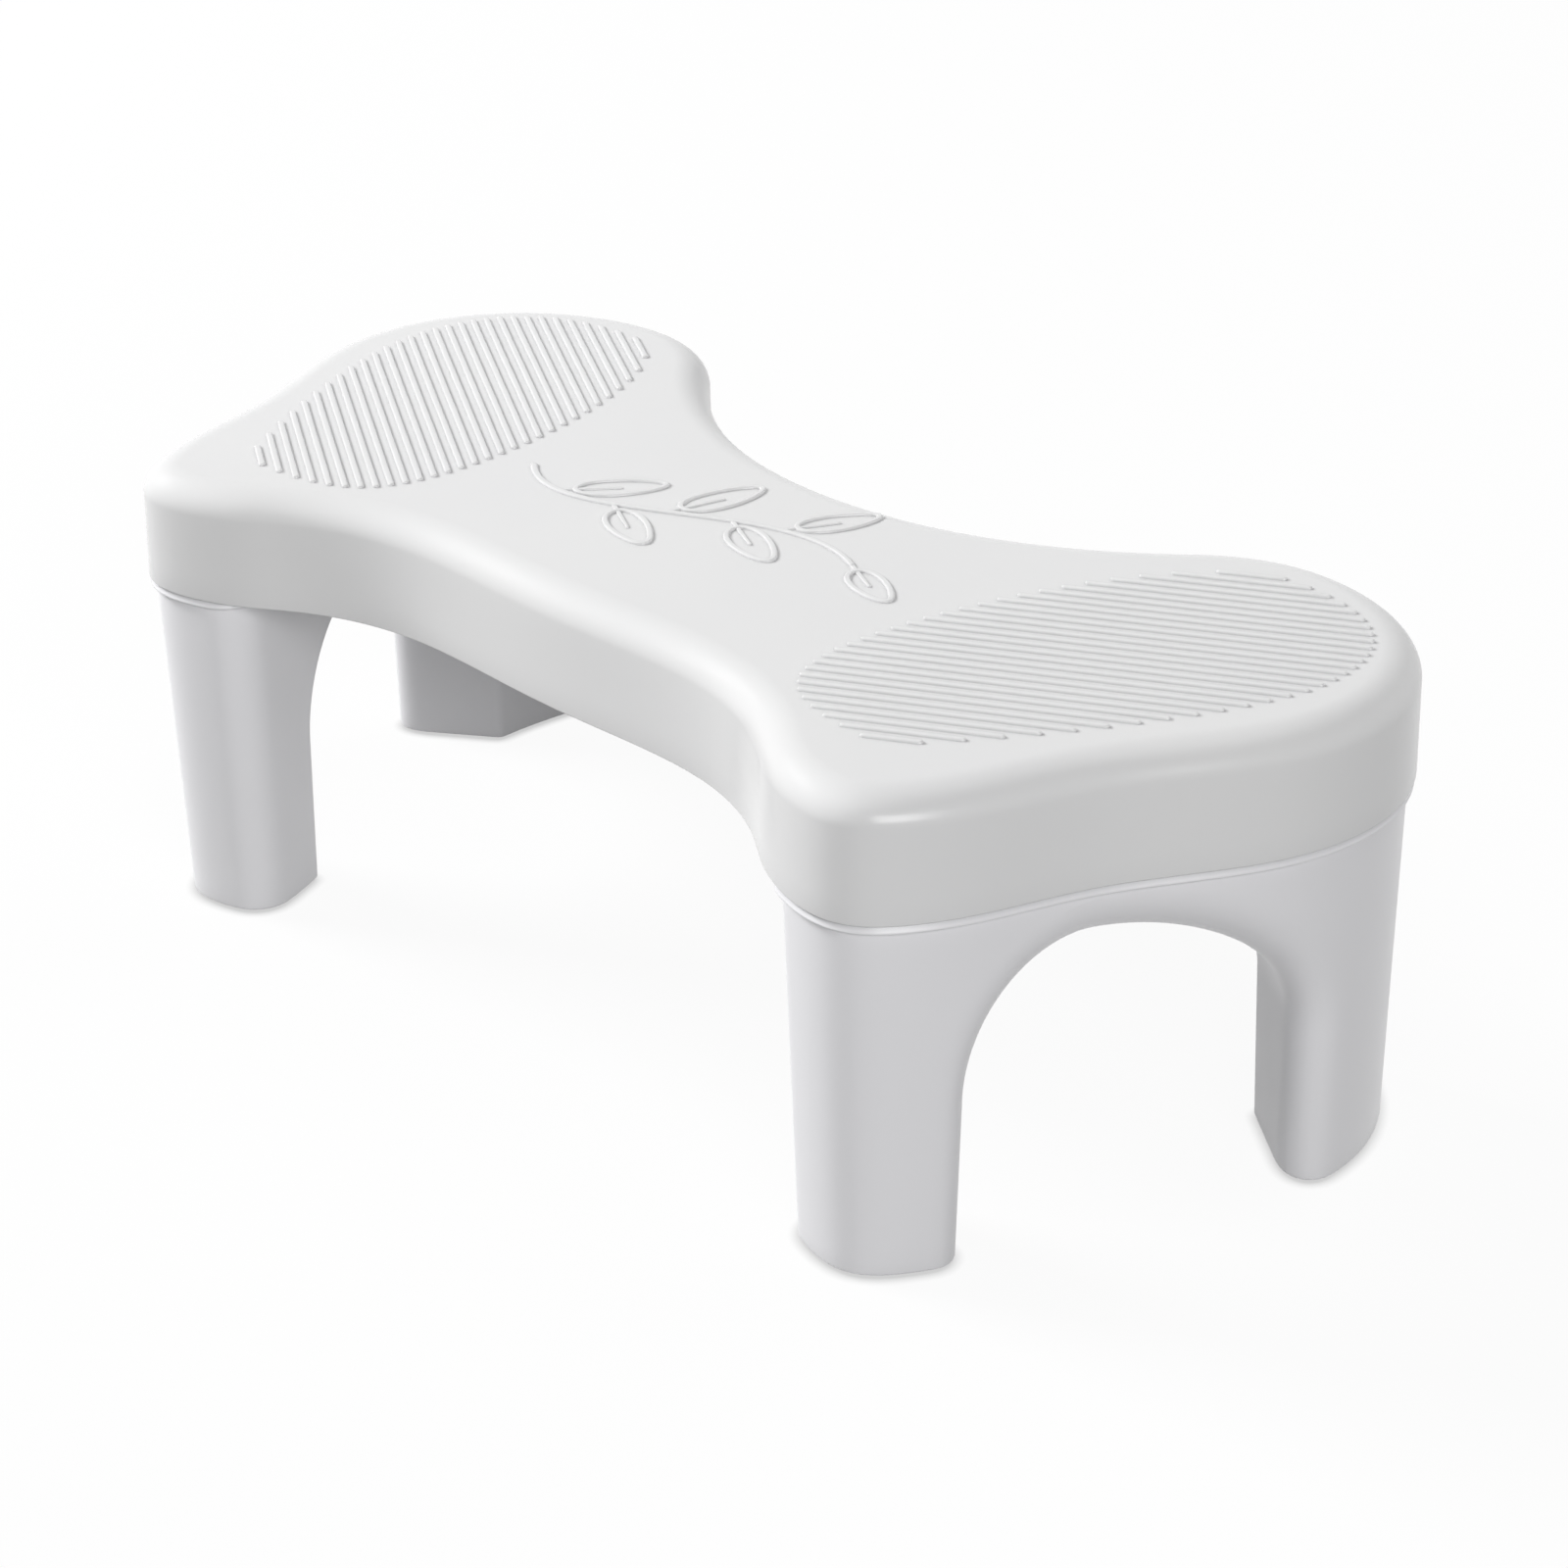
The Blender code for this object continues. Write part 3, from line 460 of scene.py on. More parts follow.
# Top shell
def edge_profile(thickness, rounding, steps):
    """The rounded upper edge at a depth under the surface, as insets and heights going up."""
    angles = np.linspace(0, pi / 2, steps + 1)
    width = EDGE_ROUND_WIDTH - thickness
    insets = thickness + SKIRT_DRAFT + width * (1 - np.cos(angles))
    heights = HEIGHT - rounding + (rounding - thickness) * np.sin(angles)
    return list(zip(insets, heights))


def lip_profile():
    """The rounded lower edge of the skirt, from its outside to its inside."""
    profile = []
    for middle, start in ((SKIRT_LIP_ROUND, pi), (SHELL_WALL - SKIRT_LIP_ROUND, 3 * pi / 2)):
        for step in range(LIP_STEPS + 1):
            angle = start + pi / 2 * step / LIP_STEPS
            profile.append((middle + SKIRT_LIP_ROUND * cos(angle),
                            SKIRT_BOTTOM + SKIRT_LIP_ROUND * (1 + sin(angle))))
    return profile


def add_stiffeners(shape):
    """Upright walls in a grid under the top, cut off inside the skirt and the rounded edge."""
    levels = [(SHELL_WALL / 2, STIFFENER_BOTTOM)]
    levels += edge_profile(SHELL_WALL / 2, EDGE_ROUND_HEIGHT, STIFFENER_EDGE_STEPS)
    rings = [(shifted(OUTLINE, inset, True), height) for inset, height in levels]
    half = STIFFENER_THICKNESS / 2
    for direction, spread in (((1, 0), DEPTH / 2), ((0, 1), LENGTH / 2)):
        direction = np.array(direction, float)
        side = direction[::-1]
        count = int(spread / STIFFENER_PITCH)
        for index in range(-count, count + 1):
            origin = side * index * STIFFENER_PITCH
            found = [(chords(ring, origin, direction), height) for ring, height in rings]
            number = len(found[0][0])
            found = [(pairs, height) for pairs, height in found if len(pairs) == number]
            for which in range(number):
                ends = [(pairs[which][0], height) for pairs, height in found]
                ends += [(pairs[which][1], height) for pairs, height in reversed(found)]
                loops = []
                for offset in (-half, half):
                    base = origin + side * offset
                    loops.append([[*(base + direction * place), height]
                                  for place, height in ends])
                shape.add(loops, cap_first=True, cap_last=True)


def inner_wall_line(overrun):
    """The leg frame's wall on the side of the stool's middle, from near to far."""
    line = shifted(RIGHT_EDGE, FRAME_SETBACK)
    near, far = at(line, reach(line)[-1] * np.array([NEAR_TIP_SHARE, FAR_TIP_SHARE]))
    wall = bezier(near, INNER_WALL_START_ANGLE, far, INNER_WALL_END_ANGLE,
                  INNER_WALL_HANDLE_SHARES, CURVE_STEPS)
    if not overrun:
        return wall
    before = near - heading(INNER_WALL_START_ANGLE) * overrun
    after = far + heading(INNER_WALL_END_ANGLE) * overrun
    return np.concatenate([[before], wall, [after]])


def crossing(line, other):
    """The first and the last place where two lines cross, as distances along each."""
    a, b = line[:-1, None], line[1:, None] - line[:-1, None]
    c, d = other[None, :-1], (other[1:] - other[:-1])[None]
    area = b[..., 0] * d[..., 1] - b[..., 1] * d[..., 0]
    area[area == 0] = np.inf
    gap = c - a
    first = (gap[..., 0] * d[..., 1] - gap[..., 1] * d[..., 0]) / area
    second = (gap[..., 0] * b[..., 1] - gap[..., 1] * b[..., 0]) / area
    hits = np.argwhere((first >= 0) & (first <= 1) & (second >= 0) & (second <= 1))
    line_reach, other_reach = reach(line), reach(other)
    found = []
    for i, j in (hits[0], hits[-1]):
        along_line = line_reach[i] + (line_reach[i + 1] - line_reach[i]) * first[i, j]
        along_other = other_reach[j] + (other_reach[j + 1] - other_reach[j]) * second[i, j]
        found.append((along_line, along_other))
    return found


def add_socket_walls(shape):
    """The curved walls behind the leg frames, with an opening for each catch."""
    face = UPSTAND_STEP + CLEARANCE
    line = shifted(resampled(inner_wall_line(TIP_OVERRUN), SOCKET_LINE_POINTS), face)
    ring = shifted(OUTLINE, SHELL_WALL / 2, True)
    (start, _), (end, _) = crossing(line, np.concatenate([ring, ring[:1]]))
    length = reach(inner_wall_line(0))[-1]
    half = CATCH_WIDTH / 2 + CATCH_MARGIN
    window_top = UPSTAND_TOP - CATCH_SETDOWN + CATCH_MARGIN
    window_bottom = UPSTAND_TOP - CATCH_SETDOWN - CATCH_HEIGHT - CATCH_MARGIN
    near, far = (TIP_OVERRUN + length * share for share in CATCH_PLACE_SHARES)
    top = HEIGHT - SHELL_WALL / 2
    fillet = EDGE_ROUND_WIDTH
    pieces = (
        (start, end, SKIRT_BOTTOM + SOCKET_STOP, window_bottom),
        (start, near - half, window_bottom, window_top),
        (near + half, far - half, window_bottom, window_top),
        (far + half, end, window_bottom, window_top),
        (start, end, window_top, HEIGHT - EDGE_ROUND_HEIGHT),
        (start + fillet, end - fillet, HEIGHT - EDGE_ROUND_HEIGHT, top),
    )
    for first, last, bottom, upper in pieces:
        places = np.linspace(first, last, SOCKET_COLUMNS)
        front = at(line, places)
        back = front + normals(front) * SOCKET_WALL
        for flip in (1, -1):
            section = np.concatenate([front, back[::-1]]) * (flip, 1)
            shape.add([at_height(section, bottom), at_height(section, upper)],
                      cap_first=True, cap_last=True)


def make_top(material):
    shape = Shape()
    profile = edge_profile(0, EDGE_FALL_HEIGHT, EDGE_STEPS)[::-1]
    skirt_top, skirt_foot = HEIGHT - EDGE_FALL_HEIGHT, SKIRT_BOTTOM + SKIRT_LIP_ROUND
    for part in SKIRT_LEVELS:
        profile.append((SKIRT_DRAFT * (1 - part), skirt_top + (skirt_foot - skirt_top) * part))
    profile += lip_profile() + edge_profile(SHELL_WALL, EDGE_ROUND_HEIGHT, INNER_EDGE_STEPS)
    shape.add([at_height(shifted(OUTLINE, inset, True), height) for inset, height in profile],
              cap_first=True, cap_last=True)
    add_stiffeners(shape)
    add_socket_walls(shape)
    return shape.made("top_shell_smooth", material, TOP_SHARP_ANGLE)


# Raised ribs and lines on the top face
def ridge_rise(share):
    """The height of a ridge at a share of its half width: a rounded crest and steep flanks."""
    return 1 - share ** RIDGE_POWER


def add_ridge(shape, path, half_widths, height):
    """A raised line with soft flanks and round ends along a path on the top face."""
    side = normals(path)
    rings = []
    for share in RIDGE_SHARES:
        rise = height * ridge_rise(share) - RIDGE_SINK
        left = path + side * half_widths[:, None] * share
        right = path - side * half_widths[:, None] * share
        caps = []
        for end, sign in ((-1, -1), (0, 1)):
            normal = side[end] * sign
            along = np.array([-normal[1], normal[0]])
            turn = pi * np.arange(1, RIDGE_END_STEPS)[:, None] / RIDGE_END_STEPS
            spokes = normal * np.cos(turn) + along * np.sin(turn)
            caps.append(path[end] + spokes * half_widths[end] * share)
        ring = np.concatenate([right, caps[0], left[::-1], caps[1]])
        rings.append(at_height(ring, HEIGHT + rise))
    base = rings[0].copy()
    base[:, 2] = HEIGHT - RIDGE_DEPTH
    shape.add([base] + rings, cap_first=True, cap_last=True)


def tread_oval():
    """The outline of the right field of ribs."""
    corner = np.array([TREAD_CENTRE_X - TREAD_WIDTH / 2, TREAD_CENTRE_Y - TREAD_LENGTH / 2])
    nodes = [corner + (x * TREAD_WIDTH, y * TREAD_LENGTH) for x, y in TREAD_NODE_SHARES]
    curves = []
    for index, shares in enumerate(TREAD_HANDLE_SHARES):
        angle = (index - 1) * pi / 2
        end = nodes[(index + 1) % len(nodes)]
        curves.append(bezier(nodes[index], angle, end, angle + pi / 2, shares, OVAL_STEPS))
    return joined(curves)[:-1]


def make_treads(material):
    oval = tread_oval()
    direction = heading(TREAD_RIB_ANGLE)
    side = heading(TREAD_RIB_ANGLE + pi / 2)
    middle = np.array([TREAD_CENTRE_X, TREAD_CENTRE_Y])
    count = int((TREAD_LENGTH + TREAD_WIDTH) / 2 / TREAD_RIB_PITCH)
    half = RIB_ROOT_WIDTH / 2
    made = []
    for name, flip in (("tread_ribs_right", 1), ("tread_ribs_left", -1)):
        shape = Shape()
        for index in range(-count, count + 1):
            origin = middle + side * index * TREAD_RIB_PITCH
            for start, end in chords(oval, origin, direction):
                if end - start > 2 * TREAD_RIB_WIDTH:
                    ends = origin + direction * np.array([[start + half], [end - half]])
                    path = resampled(ends, RIB_POINTS) * (flip, 1)
                    add_ridge(shape, path, np.full(RIB_POINTS, half), TREAD_RIB_HEIGHT)
        made.append(shape.made(name, material, RIDGE_SHARP_ANGLE))
    return made


def add_closed_ridge(shape, loop, half_width, height):
    """A raised line with soft flanks along a closed outline on the top face."""
    side = normals(loop, True)
    rings = []
    for share in RIDGE_SHARES + tuple(-share for share in RIDGE_SHARES[::-1]):
        rise = height * ridge_rise(share) - RIDGE_SINK
        rings.append(at_height(loop + side * half_width * share, HEIGHT + rise))
    for ring in (rings[-1], rings[0]):
        base = ring.copy()
        base[:, 2] = HEIGHT - RIDGE_DEPTH
        rings.append(base)
    shape.add(rings + rings[:1])


def leaf_outline(base, angle, length):
    """An egg-shaped closed outline that starts at its broad end and points along an angle."""
    turn = np.linspace(0, 2 * pi, LEAF_STEPS + 1)[:-1]
    forward = (1 - np.cos(turn)) / 2 * length
    across = np.sin(turn) * (1 + LEAF_EGG * np.cos(turn)) * length * LEAF_WIDTH_SHARE / 2
    curl = LEAF_CURL * (forward / length) ** 2 * length
    return (base + forward[:, None] * heading(angle)
            + (curl - across)[:, None] * heading(angle + pi / 2))


def make_sprig(material):
    """A leaf sprig in raised lines across the middle of the top."""
    shape = Shape()
    half = LINE_ROOT_WIDTH / 2
    stem = cubic(*np.array(SPRIG_STEM), STEM_STEPS)
    add_ridge(shape, stem, np.linspace(half, half * STEM_TAPER, STEM_STEPS + 1), LINE_HEIGHT)
    length = reach(stem)[-1]
    vein_half, vein_height = half * VEIN_SHARE, LINE_HEIGHT * VEIN_SHARE
    for share, turn, size in SPRIG_LEAVES:
        base, ahead = at(stem, np.array([share, share + AHEAD_SHARE]) * length)
        way = ahead - base
        angle = np.arctan2(way[1], way[0]) + turn * LEAF_ANGLE
        stalk_end = base + heading(angle) * LEAF_STALK
        stalk = np.linspace(base, stalk_end, STALK_POINTS)
        add_ridge(shape, stalk, np.full(STALK_POINTS, vein_half), vein_height)
        add_closed_ridge(shape, leaf_outline(stalk_end, angle, size), half * LEAF_LINE_SHARE,
                         LINE_HEIGHT)
        reaches = size * np.array(VEIN_REACH)[:, None]
        vein = resampled(stalk_end + heading(angle) * reaches, VEIN_POINTS)
        add_ridge(shape, vein, vein_half * np.linspace(1, VEIN_TAPER, VEIN_POINTS), vein_height)
    return shape.made("top_sprig", material, RIDGE_SHARP_ANGLE)


# Leg frames
def turn_between(line, other):
    """How far the path turns that comes down one line and leaves along the other."""
    first, second = (path[1] - path[0] for path in (line, other))
    return pi - np.arccos(first @ second / np.linalg.norm(first) / np.linalg.norm(second))


def rounded_start(line, other, radius):
    """Two lines from one corner, which start instead at the middle of its rounding."""
    setback = radius * tan(turn_between(line, other) / 2)
    rest, other_rest = trimmed(line, setback), trimmed(other, setback)
    start, end = other_rest[0], rest[0]
    turn = turn_between(rest, other_rest)
    # The length that brings a cubic closest to an arc
    handle = np.linalg.norm(end - start) / sin(turn / 2) * 2 / 3 * tan(turn / 4)
    first = start + unit(start - other_rest[1]) * handle
    second = end + unit(end - rest[1]) * handle
    arc = cubic(start, first, second, end, 2 * TIP_STEPS)
    outward = arc[TIP_STEPS:]
    inward = arc[:TIP_STEPS + 1][::-1]
    return np.concatenate([outward, rest[1:]]), np.concatenate([inward, other_rest[1:]])


def trimmed(line, distance):
    """A line without its first stretch."""
    places = reach(line)
    kept = line[places > distance + TRIM_GAP]
    return np.concatenate([at(line, np.array([distance])), kept])


def frame_walls(inset, outer_taper=0, inner_taper=0):
    """The outer and inner wall lines of a frame, both from the near tip to the far tip."""
    edge = shifted(RIGHT_EDGE, FRAME_SETBACK + inset + outer_taper)
    wall = resampled(inner_wall_line(TIP_OVERRUN), FRAME_LINE_POINTS)
    inner = shifted(wall, -inset - inner_taper)
    near, far = crossing(inner, edge)
    lines = []
    for line, start, end in ((edge, near[1], far[1]), (inner, near[0], far[0])):
        places = reach(line)
        kept = line[(places > start + CORNER_GAP) & (places < end - CORNER_GAP)]
        ends = at(line, np.array([start, end]))
        lines.append(np.concatenate([ends[:1], kept, ends[1:]]))
    outer, inner = rounded_start(lines[0], lines[1], NEAR_TIP_ROUND - inset)
    outer, inner = rounded_start(outer[::-1], inner[::-1], FAR_TIP_ROUND - inset)
    return outer[::-1], inner[::-1]


class TaperedWall:
    """One wall of a leg frame: its line at the bead, and near and far lines on the floor."""

    def __init__(self, upper, near_floor, far_floor):
        self.lines = (upper, near_floor, far_floor)
        self.lengths = [reach(line)[-1] for line in self.lines]
        self.length = self.lengths[0]

    def points(self, distances, heights):
        """Points on the wall: it leans between its line on the floor and the one at the bead."""
        share = np.clip(np.asarray(distances, float) / self.length, 0, 1)
        top, near, far = (at(line, share * length)
                          for line, length in zip(self.lines, self.lengths))
        floor = near + (far - near) * share[..., None]
        level = np.asarray(heights, float)[..., None]
        place = floor + (top - floor) * (level / BEAD_BOTTOM)
        return np.concatenate([place, level], -1)


def arch_stations(wall, shares):
    """Places and heights of the arch from the near foot to the far foot, and its normals."""
    near, far = (share * wall.length for share in shares)
    apex = near + (far - near) * ARCH_APEX_SHARE
    rise = ARCH_CROWN_HEIGHT - ARCH_SPRING_HEIGHT
    jamb = np.linspace(LEG_BOTTOM + FOOT_ROUND, ARCH_SPRING_HEIGHT, JAMB_STEPS + 1)[:-1]
    flare = JAMB_FLARE * (1 - jamb / ARCH_SPRING_HEIGHT)
    angle = np.linspace(0, pi, 2 * SHOULDER_STEPS + TOP_STEPS + 1)
    run = np.where(angle < pi / 2, apex - near, far - apex)
    across, up = -np.cos(angle) / run, np.sin(angle) / rise
    size = np.hypot(across, up)
    still = np.zeros(JAMB_STEPS)
    places = np.concatenate([near - flare, apex - run * np.cos(angle), far + flare[::-1]])
    heights = np.concatenate([jamb, ARCH_SPRING_HEIGHT + rise * np.sin(angle), jamb[::-1]])
    across = np.concatenate([still - 1, across / size, still + 1])
    up = np.concatenate([still, up / size, still])
    return places, heights, across, up


def border_stations(wall, heights):
    """Where the wall's mesh ends at each station: on a tip, or along the bead."""
    rise = np.linspace(ARCH_SPRING_HEIGHT, BEAD_BOTTOM, SHOULDER_STEPS + 1)[:-1]
    level = np.full(TOP_STEPS + 1, BEAD_BOTTOM)
    still = np.zeros(JAMB_STEPS + SHOULDER_STEPS)
    places = np.concatenate([still, np.linspace(0, wall.length, TOP_STEPS + 1),
                             still + wall.length])
    border = np.concatenate([heights[:JAMB_STEPS], rise, level, rise[::-1],
                             heights[-JAMB_STEPS:]])
    return places, border


def frame_skin():
    """Rows of points over the outside of a leg frame, from foot to foot over the arch."""
    upper = frame_walls(0)
    near_floor = frame_walls(0, NEAR_OUTER_TAPER, NEAR_INNER_TAPER)
    far_floor = frame_walls(0, FAR_OUTER_TAPER, FAR_INNER_TAPER)
    outer, inner = [TaperedWall(*lines) for lines in zip(upper, near_floor, far_floor)]
    place, height, across, up = arch_stations(outer, ARCH_OUTER_SHARES)
    in_place, in_height, in_across, in_up = arch_stations(inner, ARCH_INNER_SHARES)
    end, end_height = border_stations(outer, height)
    in_end, in_end_height = border_stations(inner, in_height)
    blend = np.linspace(0, 1, len(place))
    blend = blend * blend * (3 - 2 * blend)
    rounding = NEAR_ARCH_ROUND + (FAR_ARCH_ROUND - NEAR_ARCH_ROUND) * blend
    columns = []
    start = in_place + in_across * ARCH_INNER_ROUND
    start_height = in_height + in_up * ARCH_INNER_ROUND
    for part in 1 - np.linspace(0, 1, INNER_ROWS + 1) ** INNER_ROW_POWER:
        columns.append(inner.points(start + (in_end - start) * part,
                                    start_height + (in_end_height - start_height) * part))
    depth = inner.points(in_place, in_height) - outer.points(place, height)
    depth /= np.linalg.norm(depth, axis=1)[:, None]
    for step in range(1, ROUND_STEPS + 1):
        turn = pi / 2 * (1 - step / ROUND_STEPS)
        spread = ARCH_INNER_ROUND * (1 - cos(turn))
        surface = inner.points(in_place + in_across * spread, in_height + in_up * spread)
        columns.append(surface - depth * ARCH_INNER_ROUND * (1 - sin(turn)))
    for step in range(ROUND_STEPS + 1):
        turn = pi / 2 * step / ROUND_STEPS
        spread = rounding * (1 - cos(turn))
        surface = outer.points(place + across * spread, height + up * spread)
        columns.append(surface + depth * (rounding * (1 - sin(turn)))[:, None])
    start = place + across * rounding
    start_height = height + up * rounding
    for part in (1 - (1 - np.linspace(0, 1, OUTER_ROWS + 1)) ** OUTER_ROW_POWER)[1:]:
        columns.append(outer.points(start + (end - start) * part,
                                    start_height + (end_height - start_height) * part))
    return np.stack(columns, 1)


def collar_loops():
    """The bead and the upstand, as loops from the bead's underside to the rim.

    The bead is rounded below, and above it leans back under the skirt.
    """
    profile = []
    for step in range(BEAD_STEPS + 1):
        angle = BEAD_TURN * step / BEAD_STEPS
        profile.append((BEAD_ROUND * (1 - sin(angle)) - BEAD_REACH,
                        BEAD_BOTTOM + BEAD_ROUND * (1 - cos(angle))))
    profile += [(-BEAD_REACH * BEAD_LEAN_SHARE, BEAD_TOP), (-UPSTAND_STEP, BEAD_TOP),
                (-UPSTAND_STEP, UPSTAND_TOP)]
    loops = []
    for inset, height in profile:
        outer, inner = frame_walls(inset)
        line = resampled(outer, TOP_STEPS + 1)
        back = resampled(inner, TOP_STEPS + 1)[1:-1]
        loops.append(at_height(np.concatenate([line, back[::-1]]), height))
    return loops


def respaced(polygon, spacing):
    """A closed outline with points at one even spacing."""
    closed = np.concatenate([polygon, polygon[:1]])
    count = max(int(reach(closed)[-1] / spacing), LEAST_POINTS)
    return resampled(closed, count + 1)[:-1]


def shrunk(polygon, distance):
    """A closed outline moved inwards in small steps, so that its tight corners close."""
    steps = int(distance / SHRINK_STEP) + 1
    for _ in range(steps):
        polygon = respaced(polygon, SHRINK_SPACING)
        polygon = shifted(polygon, distance / steps, True)
    return polygon


def turned_anticlockwise(polygon):
    x, y = polygon.T
    area = np.sum(x * np.roll(y, -1) - y * np.roll(x, -1))
    return polygon if area > 0 else polygon[::-1]


def lower_edge(section, radius, bottom, steps):
    """Loops round the rounded lower edge of an upright piece, down to its underside."""
    loops = []
    for step in range(steps + 1):
        angle = pi / 2 * step / steps
        ring = shifted(section, radius * (1 - cos(angle)), True)
        loops.append(at_height(ring, bottom + radius * (1 - sin(angle))))
    return loops


def add_catches(shape):
    """The wedges on the upstand that spring into the openings of the socket walls."""
    line = inner_wall_line(0)
    for share in CATCH_PLACE_SHARES:
        place = share * reach(line)[-1]
        base, ahead = at(line, np.array([place, place + LOOK_AHEAD]))
        direction = unit(ahead - base)
        outward = np.array([-direction[1], direction[0]])
        top = UPSTAND_TOP - CATCH_SETDOWN
        root, tip = UPSTAND_STEP - UPSTAND_WALL / 2, UPSTAND_STEP + CATCH_REACH
        section = ((root, top - CATCH_HEIGHT), (tip, top - CATCH_HEIGHT),
                   (tip, top - CATCH_HEIGHT / 2), (root, top))
        loops = []
        for offset in (-CATCH_WIDTH / 2, CATCH_WIDTH / 2):
            middle = base + direction * offset
            loops.append([[*(middle + outward * distance), height]
                          for distance, height in section])
        shape.add(loops, cap_first=True, cap_last=True)


def make_frames(material):
    """Both leg frames, and the outlines of the near and the far foot that the pads need."""
    rows = frame_skin()
    made = []
    sections = [turned_anticlockwise(rows[station][:-1, :2]) for station in (0, -1)]
    for name, mirror in (("leg_frame_right_smooth", False), ("leg_frame_left_smooth", True)):
        shape = Shape()
        shape.add(rows, closed=False)
        first = JAMB_STEPS + SHOULDER_STEPS
        upper = rows[first:len(rows) - first]
        border = np.concatenate([upper[:, -1], upper[::-1][1:-1, 0]])
        shape.add([border] + collar_loops(), cap_last=True)
        for section in sections:
            shape.add(lower_edge(section, FOOT_ROUND, LEG_BOTTOM, FOOT_STEPS), cap_last=True)
        add_catches(shape)
        made.append(shape.made(name, material, LEG_SHARP_ANGLE, mirror))
    return made, sections


def make_pads(sections, material):
    """The plates of the four pads, each with the name of its CAD node."""
    made = []
    for word, section in zip(("near", "far"), sections):
        plate = shrunk(section, PAD_MARGIN + CLEARANCE)
        loops = [at_height(plate, LEG_BOTTOM + PAD_SINK)]
        loops += lower_edge(plate, PAD_ROUND, 0, PAD_STEPS)
        for side, mirror in (("right", False), ("left", True)):
            shape = Shape()
            shape.add(loops, cap_first=True, cap_last=True)
            name = "foot_pad_%s_%s" % (word, side)
            made.append((shape.made(name + "_smooth", material, LEG_SHARP_ANGLE, mirror), name))
    return made


# Finishes
def new_material(name):
    """A material with its node tree and its shader."""
    material = bpy.data.materials.new(name)
    material.use_nodes = True
    return material, material.node_tree, material.node_tree.nodes["Principled BSDF"]


def add_node(tree, kind, **values):
    """A node with its inputs and settings filled in by name."""
    node = tree.nodes.new(kind)
    for name, value in values.items():
        if name in node.inputs:
            node.inputs[name].default_value = value
        else:
            setattr(node, name, value)
    return node


def link(tree, source, output, target, entry):
    tree.links.new(source.outputs[output], target.inputs[entry])


def noise(tree, place, scale, detail, roughness=0.5):
    node = add_node(tree, "ShaderNodeTexNoise", Scale=scale, Detail=detail,
                    Roughness=roughness)
    link(tree, place, "Object", node, "Vector")
    return node


def between(tree, source, low, high, floor=0.0, top=1.0):
    """Spread the values from floor to top over the range from low to high."""
    node = add_node(tree, "ShaderNodeMapRange")
    for name, value in zip(("From Min", "From Max", "To Min", "To Max"),
                           (floor, top, low, high)):
        node.inputs[name].default_value = value
    link(tree, source, 0, node, "Value")
    return node


def blended(tree, factor, colour):
    """A mix towards a colour. The caller sets or links the colour that it starts from."""
    mix = add_node(tree, "ShaderNodeMix", data_type="RGBA")
    mix.inputs["B"].default_value = (*colour, 1)
    link(tree, factor, 0, mix, "Factor")
    return mix


def moulded(name, colour, tint, roughness):
    """Injection-moulded plastic: flow clouds, dust, painted crease shade, uneven gloss, fine
    grain.
    """
    material, tree, shader = new_material(name)
    place = add_node(tree, "ShaderNodeTexCoord")
    clouds = noise(tree, place, CLOUD_SCALE, detail=3.0)
    clouded = blended(tree, between(tree, clouds, 0.0, 1.0, *CLOUD_LIMITS), tint)
    clouded.inputs["A"].default_value = (*colour, 1)
    specks = noise(tree, place, DUST_SCALE, detail=2.0, roughness=0.6)
    dusty = blended(tree, between(tree, specks, 0.0, DUST_SHARE, *DUST_LIMITS), DUST_COLOUR)
    tree.links.new(clouded.outputs["Result"], dusty.inputs["A"])
    # Painted shade: where occlusion finds nearby surfaces, in creases and at the feet of ribs,
    # the colour darkens towards a grey
    occlusion = add_node(tree, "ShaderNodeAmbientOcclusion", Distance=PAINTED_SHADE_REACH)
    crease_shaded = blended(tree, between(tree, occlusion, PAINTED_SHADE_SHARE, 0.0), PAINTED_SHADE_COLOUR)
    tree.links.new(dusty.outputs["Result"], crease_shaded.inputs["A"])
    tree.links.new(crease_shaded.outputs["Result"], shader.inputs["Base Color"])
    patches = noise(tree, place, GLOSS_SCALE, detail=4.0, roughness=0.6)
    gloss = between(tree, patches, roughness - GLOSS_SPREAD, roughness + GLOSS_SPREAD,
                    *GLOSS_LIMITS)
    link(tree, gloss, 0, shader, "Roughness")
    fine = noise(tree, place, GRAIN_SCALE, detail=2.0)
    peel = noise(tree, place, PEEL_SCALE, detail=2.0)
    together = add_node(tree, "ShaderNodeMath", operation="MULTIPLY_ADD")
    link(tree, peel, 0, together, 0)
    together.inputs[1].default_value = PEEL_SHARE
    link(tree, fine, 0, together, 2)
    bump = add_node(tree, "ShaderNodeBump", Strength=1.0, Distance=GRAIN_DEPTH)
    link(tree, together, 0, bump, "Height")
    link(tree, bump, 0, shader, "Normal")
    shader.inputs["IOR"].default_value = PLASTIC_IOR
    return material


def rubber(name, colour):
    """Matt rubber with a pebbled surface and worn lighter patches."""
    material, tree, shader = new_material(name)
    place = add_node(tree, "ShaderNodeTexCoord")
    patches = noise(tree, place, WEAR_SCALE, detail=5.0, roughness=0.65)
    worn = blended(tree, between(tree, patches, 0.0, 1.0, *WEAR_LIMITS),
                   [value * WEAR_GAIN for value in colour])
    worn.inputs["A"].default_value = (*colour, 1)
    tree.links.new(worn.outputs["Result"], shader.inputs["Base Color"])
    shader.inputs["Roughness"].default_value = RUBBER_ROUGHNESS
    pebbles = add_node(tree, "ShaderNodeTexVoronoi", Scale=PEBBLE_SCALE)
    link(tree, place, "Object", pebbles, "Vector")
    bump = add_node(tree, "ShaderNodeBump", Strength=PEBBLE_STRENGTH, Distance=PEBBLE_DEPTH)
    link(tree, pebbles, 0, bump, "Height")
    link(tree, bump, 0, shader, "Normal")
    return material


